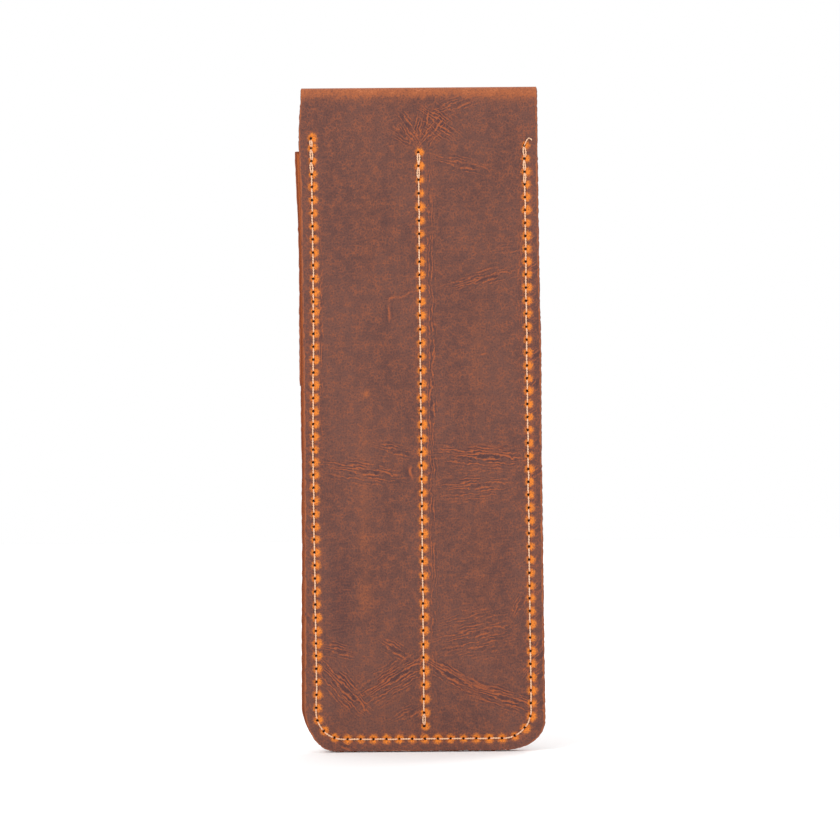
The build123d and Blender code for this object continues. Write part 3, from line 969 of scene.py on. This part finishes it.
# ---------------------------------------------------------------- strap
def rounded(points, radii):
    """A line through some points with its corners rounded, as points about strap_step apart."""
    points = [np.array(point, float) for point in points]
    line = [points[0]]
    for before, corner, after, radius in zip(points, points[1:], points[2:], radii):
        a, b = before - corner, after - corner
        a, b = a / np.hypot(*a), b / np.hypot(*b)
        half = math.acos(float(a @ b)) / 2
        reach = radius / math.tan(half)
        middle = corner + (a + b) / np.hypot(*(a + b)) * radius / math.sin(half)
        first, last = corner + a * reach - middle, corner + b * reach - middle
        swing = math.atan2(first[0] * last[1] - first[1] * last[0], float(first @ last))
        for turn in np.linspace(0, swing, 24):
            cos, sin = math.cos(turn), math.sin(turn)
            spoke = [first[0] * cos - first[1] * sin, first[0] * sin + first[1] * cos]
            line.append(middle + np.array(spoke))
    line.append(points[-1])
    line = np.array(line)
    along = distances(line)
    even = np.arange(0, along[-1], strap_step)
    return sample(line, along, even), even


strap_foot = 25.5
strap_lean = 2.5
strap_offset = 300  # takes the strap's grain from another part of the hide


def strap_face():
    """The outer face of the strap from its left foot to its right foot, in a level cut."""
    low, high = strap_low[1] + leather, strap_high[1]
    left, right = left_edge(strap_low[2] + 10), right_edge(strap_low[2] + 10)
    corners = [(left - lip, low), (-strap_foot - 0.8, low), (-strap_foot + strap_lean - 0.8, high)]
    corners += [(strap_foot - strap_lean + 0.8, high), (strap_foot + 0.8, low), (right - 0.25, low)]
    return rounded(corners, [0.9, 9.8, 9.8, 0.9])


def build_strap():
    face, even = strap_face()
    columns = 64 * STRIDE + 1
    pick = np.linspace(0, even[-1], columns)
    x = np.interp(pick, even, face[:, 0])
    y = np.interp(pick, even, face[:, 1])
    z = stations(strap_low[2], (strap_high[2], 0.32))
    grid_z = np.repeat(z[:, None], columns, 1)
    gx, gy = np.repeat(x[None, :], len(z), 0), np.repeat(y[None, :], len(z), 0)
    gu = np.repeat(pick[None, :] - even[-1] / 2, len(z), 0)
    from_left = np.repeat((x[0] + pick)[None, :], len(z), 0)
    from_right = np.repeat((x[-1] - (even[-1] - pick))[None, :], len(z), 0)
    along_foot = np.where(gu < 0, from_left, from_right)
    hide = Hide((-50, strap_low[2] - 1), (50, strap_high[2] + 1), 13)
    hide.comb(0, (0, strap_low[2] + 10), everywhere, 4, 0.26)
    for side in (-1, 1):
        hide.comb(1, (side * 27, strap_low[2] + 10), (16, 5), 90, 0.8)
        hide.scatter((side * 27 - 6, strap_low[2]), (side * 27 + 6, strap_high[2]), 44, 4, 88, 0.45)
    hide.scatter((-22, strap_low[2]), (22, strap_high[2]), 50, 3, 10, 0.22)
    crease = hide.read(hide.crease, gu, grid_z)
    sink = dent((outline_seam,), gx, grid_z, 0.25, 0.9)
    bow = 0.25 * hump(gx, 0, 7) * (1 - ((grid_z - z.mean()) / (z[-1] - z[0]) * 1.2) ** 2)
    gy = gy - sink - crease_depth * crease - 0.05 * bow + 0.03 * ripple(gu, grid_z, 5, 71)
    edge = np.minimum(grid_z - strap_low[2], strap_high[2] - grid_z)
    worn = 0.45 * (1 - ease(edge, 0, 1.6)) + 0.5 * (hump(gu, -24.5, 3) + hump(gu, 24.5, 3))
    worn = worn * (0.7 + 0.3 * ripple(gu, grid_z, 2, 72)) + 0.7 * hide.tone(gu, grid_z)
    gx, gy, gu, grid_z, crease, worn, along_foot = mirrored(gx, gy, gu, grid_z, crease, worn, along_foot)
    piece = slab(
        "strap_across_front",
        np.stack([gx, gy, grid_z], 2),
        leather,
        (gu, grid_z + strap_offset),
        crease,
        worn,
        hide.lines(gu, grid_z),
        seams=[("outline", outline_seam, (along_foot, grid_z))],
    )
    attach(piece, "case")
    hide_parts("retaining_strap")
    return piece


# ---------------------------------------------------------------- threads
ply_radius = 0.115
twist_pitch = 1.3
thread_sides = 6


class Threads:
    """Twisted threads gathered into one mesh."""

    def __init__(self):
        self.points, self.faces, self.along, self.count = [], [], [], 0

    def ply(self, line, phase, radius):
        """One ply of a thread that twists about a line."""
        steps = np.linalg.norm(np.diff(line, axis=0), axis=1)
        s = np.concatenate([[0], np.cumsum(steps)])
        heading = np.gradient(line, axis=0)
        heading /= np.linalg.norm(heading, axis=1)[:, None]
        upright = abs(heading[:, 2]).mean() >= 0.8
        guide = np.array([0.99, 0.05, 0.13]) if upright else np.array([0.13, 0.05, 0.99])
        across = np.cross(heading, guide)
        across /= np.linalg.norm(across, axis=1)[:, None]
        other = np.cross(heading, across)
        swing = 2 * math.pi * s / twist_pitch + phase
        centre = line + radius * 0.9 * (across * np.cos(swing)[:, None] + other * np.sin(swing)[:, None])
        turns = np.linspace(0, 2 * math.pi, thread_sides, endpoint=False)
        ring = across[:, None, :] * np.cos(turns)[None, :, None]
        ring = ring + other[:, None, :] * np.sin(turns)[None, :, None]
        points = (centre[:, None, :] + radius * ring).reshape(-1, 3)
        index = np.arange(len(line) * thread_sides).reshape(len(line), thread_sides) + self.count
        turned = np.roll(index, -1, axis=1)
        quads = np.stack([index[:-1], turned[:-1], turned[1:], index[1:]], -1).reshape(-1, 4)
        self.faces += quads.tolist()
        self.faces += [index[0].tolist()[::-1], index[-1].tolist()]
        self.points.append(points)
        values = [np.repeat(s, thread_sides), np.tile(turns, len(line)), np.full(len(points), phase)]
        self.along.append(np.stack(values, 1))
        self.count += len(points)

    def lay(self, line, radius=ply_radius):
        for phase in (0.0, math.pi):
            self.ply(line, phase, radius)

    def finish(self, name, *nodes):
        mesh = bpy.data.meshes.new(name)
        mesh.from_pydata((np.concatenate(self.points) * MM).tolist(), [], self.faces)
        mesh.polygons.foreach_set("use_smooth", [True] * len(mesh.polygons))
        put(mesh, "hide", "FLOAT_VECTOR", np.concatenate(self.along))
        piece = add_object(name, mesh)
        piece.data.materials.append(thread_material)
        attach(piece, "case")
        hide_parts(*nodes)
        return piece


def lay_stitches(threads, seam, surface, outward, doubled, seed):
    """A stitch from each hole to the next one, rising out of one and dipping into the other."""
    draw = np.random.default_rng(seed)
    for index, (start, stop) in enumerate(zip(seam.holes, seam.holes[1:])):
        passes = 2 if index in doubled else 1
        for lap in range(passes):
            t = np.linspace(0, 1, 22)
            s = start + (stop - start) * t
            point, left = seam.place(s)
            aside = draw.normal(0, 0.05) + (0.27 if lap else -0.27) * (passes - 1)
            slant = draw.normal(0, 0.05 if passes == 1 else 0.3)
            sway = aside * np.sin(math.pi * t) + slant * (t - 0.5) * np.sin(math.pi * t)
            point = point + left * sway[:, None]
            edge = np.minimum(t, 1 - t) * (stop - start)
            height = -0.75 + 0.97 * ease(edge, 0.1, 0.78) + 0.14 * lap * np.sin(math.pi * t)
            y = surface(point[:, 0], point[:, 1]) + outward * height
            threads.lay(np.stack([point[:, 0], y, point[:, 1]], 1))


def back_surface(x, z):
    return np.full(np.shape(x), 0.18)


def front_surface(x, z):
    """The front face that the lower threads lie on: the bare back panel, the front panel or the strap."""
    panel = ease(mouth + 0.5 - z, 0, 0.9)
    over_strap = ease(z, strap_low[2] - 0.9, strap_low[2]) * ease(strap_high[2] + 0.9 - z, 0, 0.9)
    over_strap = over_strap * (np.abs(x) > 20)
    return leather + panel * leather + over_strap * leather - 0.15


def lay_loose_end(threads):
    """The loose end of the outline seam's thread curls beside its last hole."""
    tail, _ = outline_seam.place(outline_seam.holes[-1])
    turn = np.linspace(0, 1, 22)
    curl_x = tail[0] + 1.9 * turn
    curl_z = tail[1] + 1.7 * np.sin(2.4 * turn)
    curl_y = 0.3 - 0.75 * ease(turn, 0, 0.25)
    threads.lay(np.stack([curl_x, curl_y, curl_z], 1), 0.09)


def build_threads():
    last = len(outline_seam.holes) - 2
    doubled = {
        "outline": {0, 1, 2, last - 2, last - 1, last},
        "centre": {0, 1, len(centre_seam.holes) - 2},
    }
    for label, side, surface, outward, node, seed in (
        ("outline", "back", back_surface, -1, "needle", 81),
        ("centre", "back", back_surface, -1, "needle", 82),
        ("outline", "front", front_surface, 1, "bobbin", 83),
        ("centre", "front", front_surface, 1, "bobbin", 84),
    ):
        seam = outline_seam if label == "outline" else centre_seam
        threads = Threads()
        lay_stitches(threads, seam, surface, outward, doubled[label], seed)
        if (label, side) == ("outline", "back"):
            lay_loose_end(threads)
        threads.finish(f"{label}_stitches_{side}", f"{label}_{node}_thread")


# ---------------------------------------------------------------- materials
def srgb(red, green, blue):
    """A colour given in 0 to 255 sRGB, as linear light."""
    def linear(value):
        value /= 255
        return value / 12.92 if value <= 0.04045 else ((value + 0.055) / 1.055) ** 2.4
    return (linear(red), linear(green), linear(blue), 1)


class Paint:
    """Builds the node graph of one material with short calls. Values are sockets or plain numbers."""

    def __init__(self, name):
        self.material = bpy.data.materials.new(name)
        self.material.use_nodes = True
        self.tree = self.material.node_tree
        self.shader = self.tree.nodes["Principled BSDF"]

    def feed(self, socket, value):
        if isinstance(value, bpy.types.NodeSocket):
            self.tree.links.new(value, socket)
        else:
            socket.default_value = value

    def attribute(self, name):
        node = self.tree.nodes.new("ShaderNodeAttribute")
        node.attribute_name = name
        return node

    def math(self, operation, *values):
        node = self.tree.nodes.new("ShaderNodeMath")
        node.operation = operation
        for socket, value in zip(node.inputs, values):
            self.feed(socket, value)
        return node.outputs[0]

    def swing(self, value, amount):
        """A value between 0 and 1 as a swing either side of 0, times an amount."""
        return self.math("MULTIPLY", self.math("SUBTRACT", value, 0.5), amount)

    def split(self, vector):
        node = self.tree.nodes.new("ShaderNodeSeparateXYZ")
        self.feed(node.inputs[0], vector)
        return node.outputs

    def join(self, x, y, z):
        node = self.tree.nodes.new("ShaderNodeCombineXYZ")
        for socket, value in zip(node.inputs, (x, y, z)):
            self.feed(socket, value)
        return node.outputs[0]

    def stretch(self, vector, scale):
        node = self.tree.nodes.new("ShaderNodeVectorMath")
        node.operation = "MULTIPLY"
        self.feed(node.inputs[0], vector)
        node.inputs[1].default_value = scale
        return node.outputs[0]

    def noise(self, vector, scale, detail=3.0, roughness=0.55):
        node = self.tree.nodes.new("ShaderNodeTexNoise")
        self.feed(node.inputs["Vector"], vector)
        node.inputs["Scale"].default_value = scale
        node.inputs["Detail"].default_value = detail
        node.inputs["Roughness"].default_value = roughness
        return node.outputs["Fac"]

    def vector_noise(self, vector, scale):
        node = self.tree.nodes.new("ShaderNodeTexNoise")
        self.feed(node.inputs["Vector"], vector)
        node.inputs["Scale"].default_value = scale
        return node.outputs["Color"]

    def shift(self, vector, other, amount):
        """The vector moved by the other one, which is centred on a half, times an amount."""
        node = self.tree.nodes.new("ShaderNodeVectorMath")
        node.operation = "MULTIPLY_ADD"
        self.feed(node.inputs[0], other)
        node.inputs[1].default_value = (amount, amount, amount)
        self.feed(node.inputs[2], vector)
        return node.outputs[0]

    def cells(self, vector, scale, feature="F1"):
        node = self.tree.nodes.new("ShaderNodeTexVoronoi")
        node.feature = feature
        self.feed(node.inputs["Vector"], vector)
        node.inputs["Scale"].default_value = scale
        return node.outputs["Distance"]

    def rise(self, value, start, stop, low=0.0, high=1.0):
        """Low before start and high after stop, with a smooth step between."""
        node = self.tree.nodes.new("ShaderNodeMapRange")
        node.interpolation_type = "SMOOTHSTEP"
        for socket, number in zip(node.inputs, (value, start, stop, low, high)):
            self.feed(socket, number)
        return node.outputs[0]

    def mix(self, factor, first, second):
        node = self.tree.nodes.new("ShaderNodeMix")
        node.data_type = "RGBA"
        self.feed(node.inputs["Factor"], factor)
        self.feed(node.inputs[6], first)
        self.feed(node.inputs[7], second)
        return node.outputs[2]

    def bump(self, height, strength, distance):
        node = self.tree.nodes.new("ShaderNodeBump")
        self.feed(node.inputs["Height"], height)
        node.inputs["Strength"].default_value = strength
        node.inputs["Distance"].default_value = distance
        return node.outputs[0]

    def white(self, value):
        node = self.tree.nodes.new("ShaderNodeTexWhiteNoise")
        node.noise_dimensions = "1D"
        self.feed(node.inputs["W"], value)
        return node.outputs["Value"]

    def done(self, colour, roughness, normal):
        self.feed(self.shader.inputs["Base Color"], colour)
        self.feed(self.shader.inputs["Roughness"], roughness)
        self.feed(self.shader.inputs["Normal"], normal)
        return self.material


CALM = srgb(101, 67, 59)
DEEP = srgb(70, 45, 45)
# painted shade for the valleys beside creases
PAINTED_VALLEY_SHADE = srgb(72, 45, 46)
RUDDY = srgb(115, 71, 57)
PULLED = srgb(168, 92, 52)
BRIGHT = srgb(198, 118, 76)
CREASE = srgb(158, 84, 50)
HALO = srgb(226, 127, 36)
SCORCH = srgb(192, 96, 34)
# painted shade inside the stitch holes
PAINTED_HOLE_SHADE = srgb(14, 6, 4)


def stitch_marks(paint, label, holes, hide):
    """Masks for the holes of a seam, painted dark as the shade inside them, and for the stretched, brighter
    leather round them.
    """
    data = paint.attribute(label)
    run, lateral, shifted = paint.split(data.outputs["Color"])
    pitch = data.outputs["Alpha"]
    index = paint.math("MINIMUM", paint.math("MAXIMUM", paint.math("ROUND", run), 0.0), float(holes - 1))
    along = paint.math("MULTIPLY", paint.math("SUBTRACT", run, index), pitch)
    along2 = paint.math("MULTIPLY", along, along)
    hole = paint.math("SQRT", paint.math("ADD", along2, paint.math("MULTIPLY", lateral, lateral)))
    torn = paint.swing(paint.noise(hide, 2.8, 1.0, 0.5), 0.5)
    hole = paint.math("ADD", hole, torn)
    wide = paint.math("SQRT", paint.math("ADD", along2, paint.math("MULTIPLY", shifted, shifted)))
    ragged = paint.swing(paint.noise(hide, 2.0, 4.0, 0.9), 2.6)
    own = paint.swing(paint.white(index), 0.25)
    reach = paint.math("ADD", paint.math("ADD", wide, ragged), own)
    return (
        paint.rise(hole, 0.26, 0.4, 1.0, 0.0),
        paint.rise(reach, 0.6, 1.5, 1.0, 0.0),
        paint.math("ABSOLUTE", lateral),
    )


def combed_creases(paint, label, spacing):
    """Masks for the light lines of one layer of combed creases and for the painted shade in the valleys
    beside them.
    """
    along, across, strength = paint.split(paint.attribute(label).outputs["Vector"])
    place = paint.join(paint.math("MULTIPLY", along, 0.45), across, 0.0)
    wander = paint.swing(paint.noise(place, 0.42, 2.0, 0.5), 3.4)
    jitter = paint.swing(paint.noise(place, 2.4, 1.0, 0.5), 0.85)
    phase = paint.math("ADD", paint.math("DIVIDE", across, spacing), paint.math("ADD", wander, jitter))
    lane = paint.math("FLOOR", phase)
    off = paint.math("ABSOLUTE", paint.math("SUBTRACT", paint.math("FRACT", phase), 0.5))
    stretch = paint.join(paint.math("MULTIPLY", along, 0.22), paint.math("MULTIPLY", lane, 3.7), 0.0)
    shown = paint.rise(paint.noise(stretch, 1.0, 2.0, 0.6), 0.36, 0.54)
    shown = paint.math("MULTIPLY", shown, strength)
    line = paint.math("MULTIPLY", paint.rise(off, 0.03, 0.22, 1.0, 0.0), shown)
    # painted shade in the valley beside each line
    valley = paint.math("MULTIPLY", paint.rise(off, 0.2, 0.42), shown)
    return line, valley


def grain_material(name, seams):
    paint = Paint(name)
    hide = paint.attribute("hide").outputs["Vector"]
    crease, wear, margin = paint.split(paint.attribute("marks").outputs["Vector"])
    cloud = paint.noise(paint.stretch(hide, (1.0, 0.45, 1.0)), 0.075, 3.0, 0.5)
    mottle = paint.noise(hide, 0.42, 5.0, 0.62)
    fleck = paint.noise(hide, 1.5, 4.0, 0.7)
    fine = paint.noise(paint.stretch(hide, (1.2, 1.0, 1.0)), 2.3, 3.0, 0.7)
    warped = paint.shift(hide, paint.vector_noise(hide, 0.9), 0.9)
    net = paint.cells(paint.stretch(warped, (1.0, 0.8, 1.0)), 1.35, "DISTANCE_TO_EDGE")
    strands = paint.noise(paint.stretch(hide, (3.2, 0.12, 1.0)), 0.6, 3.0, 0.6)
    pores = paint.cells(hide, 2.3)
    colour = paint.mix(paint.rise(cloud, 0.36, 0.66, 0.5, 1.0), DEEP, CALM)
    colour = paint.mix(paint.rise(mottle, 0.3, 0.72, 0.0, 0.6), colour, RUDDY)
    strings = paint.rise(net, 0.02, 0.17, 1.0, 0.0)
    meshed = paint.math("MULTIPLY", strings, paint.rise(mottle, 0.42, 0.62, 0.08, 0.5))
    colour = paint.mix(paint.rise(net, 0.2, 0.42, 0.0, 0.25), colour, DEEP)
    colour = paint.mix(meshed, colour, CREASE)
    colour = paint.mix(paint.rise(strands, 0.48, 0.72, 0.0, 0.22), colour, RUDDY)
    colour = paint.mix(paint.rise(fleck, 0.56, 0.74, 0.0, 0.3), colour, CREASE)
    colour = paint.mix(paint.rise(fine, 0.5, 0.3, 0.0, 0.7), colour, DEEP)
    colour = paint.mix(paint.rise(fine, 0.54, 0.72, 0.0, 0.36), colour, CREASE)
    colour = paint.mix(paint.rise(pores, 0.55, 0.15, 0.0, 0.25), colour, RUDDY)
    rub = paint.math("MULTIPLY", wear, paint.rise(paint.math("ADD", fleck, fine), 0.7, 1.25, 0.35, 1.25))
    colour = paint.mix(paint.rise(rub, 0.0, 0.75, 0.0, 0.85), colour, PULLED)
    colour = paint.mix(paint.rise(rub, 0.75, 1.2, 0.0, 0.55), colour, BRIGHT)
    line_a, valley_a = combed_creases(paint, "comb_a", 0.82)
    line_b, valley_b = combed_creases(paint, "comb_b", 0.76)
    # painted shade: the comb valleys and the negative wear beside creases (with the darker patches) darken
    # the colour
    valleys = paint.math("MAXIMUM", valley_a, valley_b)
    shade = paint.math("SUBTRACT", valleys, paint.math("MINIMUM", wear, 0.0))
    colour = paint.mix(paint.rise(shade, 0.05, 0.7, 0.0, 0.8), colour, PAINTED_VALLEY_SHADE)
    lines = paint.math("MAXIMUM", crease, paint.math("MAXIMUM", line_a, line_b))
    thread = paint.math("MULTIPLY", lines, paint.rise(fine, 0.25, 0.65, 0.65, 1.2))
    colour = paint.mix(paint.rise(thread, 0.04, 0.5, 0.0, 1.0), colour, CREASE)
    rim = paint.math("ADD", margin, paint.swing(mottle, 1.7))
    colour = paint.mix(paint.rise(rim, 0.05, 0.42, 0.85, 0.0), colour, PULLED)
    height = paint.math("ADD", paint.math("MULTIPLY", fine, 0.5), paint.math("MULTIPLY", pores, 0.5))
    height = paint.math("SUBTRACT", height, paint.math("MULTIPLY", thread, 0.9))
    for label, count in seams:
        hole, halo, off = stitch_marks(paint, label, count, hide)
        beside = paint.rise(off, 0.6, 2.3, 1.0, 0.0)
        strain = paint.math("MULTIPLY", beside, paint.rise(fleck, 0.5, 0.62, 0.0, 0.5))
        colour = paint.mix(strain, colour, CREASE)
        glow = paint.math("MULTIPLY", halo, paint.rise(fine, 0.28, 0.55, 0.5, 1.0))
        colour = paint.mix(glow, colour, paint.mix(paint.rise(fine, 0.5, 0.34), HALO, SCORCH))
        # painted shade: each stitch hole is painted near black
        colour = paint.mix(hole, colour, PAINTED_HOLE_SHADE)
        height = paint.math("SUBTRACT", height, paint.math("MULTIPLY", hole, 2.0))
    roughness = paint.rise(mottle, 0.3, 0.7, 0.62, 0.5)
    paint.shader.inputs["Specular IOR Level"].default_value = 0.22
    return paint.done(colour, roughness, paint.bump(height, 0.35, 0.0003))


def flesh_material():
    """The suede side: tan, with short matted fibres."""
    paint = Paint("leather_flesh")
    hide = paint.attribute("hide").outputs["Vector"]
    nap = paint.noise(paint.stretch(hide, (1.0, 2.2, 1.0)), 2.6, 6.0, 0.75)
    cloud = paint.noise(hide, 0.12, 4.0, 0.55)
    margin = paint.split(paint.attribute("marks").outputs["Vector"])[2]
    colour = paint.mix(paint.rise(cloud, 0.35, 0.68), srgb(158, 92, 52), srgb(190, 118, 72))
    colour = paint.mix(paint.rise(nap, 0.36, 0.62, 0.0, 0.6), colour, srgb(212, 146, 98))
    near = paint.math("ADD", margin, paint.math("MULTIPLY", nap, 0.7))
    burnished = paint.mix(paint.rise(near, 0.55, 0.95), srgb(116, 54, 34), srgb(176, 94, 50))
    burnished = paint.mix(paint.rise(nap, 0.5, 0.62, 0.0, 0.5), burnished, srgb(128, 72, 56))
    colour = paint.mix(paint.rise(near, 1.5, 2.0, 0.92, 0.0), colour, burnished)
    paint.shader.inputs["Specular IOR Level"].default_value = 0.08
    return paint.done(colour, 0.92, paint.bump(nap, 0.6, 0.0003))


def edge_material():
    """The cut edge: layered fibres, burnished red-brown at the grain and tan at the flesh side."""
    paint = Paint("leather_edge")
    hide = paint.attribute("hide").outputs["Vector"]
    depth = paint.split(hide)[2]
    fibre = paint.noise(paint.stretch(hide, (0.7, 0.7, 4.0)), 1.4, 5.0, 0.7)
    patch = paint.noise(hide, 0.16, 3.0, 0.5)
    layer = paint.math("ADD", paint.math("DIVIDE", depth, leather), paint.math("MULTIPLY", fibre, 0.5))
    colour = paint.mix(paint.rise(layer, 0.3, 0.95), srgb(112, 56, 38), srgb(164, 92, 56))
    colour = paint.mix(paint.rise(fibre, 0.5, 0.7, 0.0, 0.5), colour, srgb(188, 112, 70))
    colour = paint.mix(paint.rise(patch, 0.5, 0.62, 0.0, 0.7), colour, srgb(104, 50, 34))
    paint.shader.inputs["Specular IOR Level"].default_value = 0.15
    return paint.done(colour, 0.8, paint.bump(fibre, 0.7, 0.0004))


def make_thread_material():
    """Waxed polyester: pale peach plies of fine parallel filaments."""
    paint = Paint("thread")
    place = paint.attribute("hide").outputs["Vector"]
    filament = paint.noise(paint.stretch(place, (0.5, 3.0, 1.0)), 2.2, 3.0, 0.6)
    soil = paint.noise(place, 0.35, 3.0, 0.5)
    colour = paint.mix(paint.rise(filament, 0.3, 0.7), srgb(232, 174, 130), srgb(252, 214, 180))
    colour = paint.mix(paint.rise(soil, 0.5, 0.75, 0.0, 0.45), colour, srgb(222, 146, 84))
    paint.shader.inputs["Sheen Weight"].default_value = 0.2
    paint.shader.inputs["Specular IOR Level"].default_value = 0.35
    return paint.done(colour, 0.55, paint.bump(filament, 0.5, 0.0001))


holes_out, holes_mid = len(outline_seam.holes), len(centre_seam.holes)
sewn_grain = grain_material("leather_grain_sewn", [("outline", holes_out), ("centre", holes_mid)])
strap_grain = grain_material("leather_grain_strap", [("outline", holes_out)])
plain_grain = grain_material("leather_grain_flap", [])
flesh = flesh_material()
cut_edge = edge_material()
thread_material = make_thread_material()

for piece, grain in (
    (build_back(), sewn_grain),
    (build_front(), sewn_grain),
    (build_flap(), plain_grain),
    (build_strap(), strap_grain),
):
    for material in (grain, flesh, cut_edge):
        piece.data.materials.append(material)
build_threads()


# ---------------------------------------------------------------- floor, light and camera
def build_floor():
    mesh = bpy.data.meshes.new("floor")
    reach = 1.2
    clear = 0.0004  # keeps the floor from touching the case
    drop = bottom * MM - clear
    corners = [(-reach, -reach, drop), (reach, -reach, drop), (reach, reach, drop), (-reach, reach, drop)]
    mesh.from_pydata(corners, [], [(0, 1, 2, 3)])
    floor = add_object("floor", mesh)
    paint = Paint("floor_paper")
    place = paint.tree.nodes.new("ShaderNodeTexCoord").outputs["Object"]
    tone = paint.noise(place, 4.0, 2.0)
    colour = paint.mix(tone, (0.97, 0.97, 0.97, 1), (1, 1, 1, 1))
    floor.data.materials.append(paint.done(colour, 0.9, paint.bump(tone, 0.05, 0.001)))


def soft_light(name, place, size, power):
    light = bpy.data.lights.new(name, "AREA")
    light.shape = "DISK"
    light.size = size
    light.energy = power
    lamp = add_object(name, light)
    lamp.location = place
    lamp.rotation_euler = (-Vector(place)).to_track_quat("-Z", "Y").to_euler()


def build_studio():
    world = bpy.data.worlds.new("studio")
    world.use_nodes = True
    background = world.node_tree.nodes["Background"]
    background.inputs["Color"].default_value = (1, 1, 1, 1)
    background.inputs["Strength"].default_value = 1.0
    bpy.context.scene.world = world
    soft_light("key", (-0.7, -0.9, 0.9), 0.6, 7.0)
    soft_light("fill", (0.9, 0.8, 0.8), 0.8, 6.0)
    bpy.context.scene.view_settings.view_transform = "Standard"


def build_camera():
    """The camera looks squarely at the back of the case, which fills 166 of the 210 mm in view."""
    data = bpy.data.cameras.new("camera")
    data.sensor_width = 36
    distance, view_width = 0.7, 0.21
    aside, lower = -0.00025, -0.000375  # the case stands a little off the middle of the picture
    data.lens = data.sensor_width * distance / view_width
    camera = add_object("camera", data)
    tilt = math.radians(0.45)
    turn = Matrix.Rotation(math.pi / 2, 4, "X") @ Matrix.Rotation(-tilt, 4, "Z")
    camera.matrix_world = Matrix.Translation((aside, -distance, lower)) @ turn
    bpy.context.scene.camera = camera


build_floor()
build_studio()
build_camera()
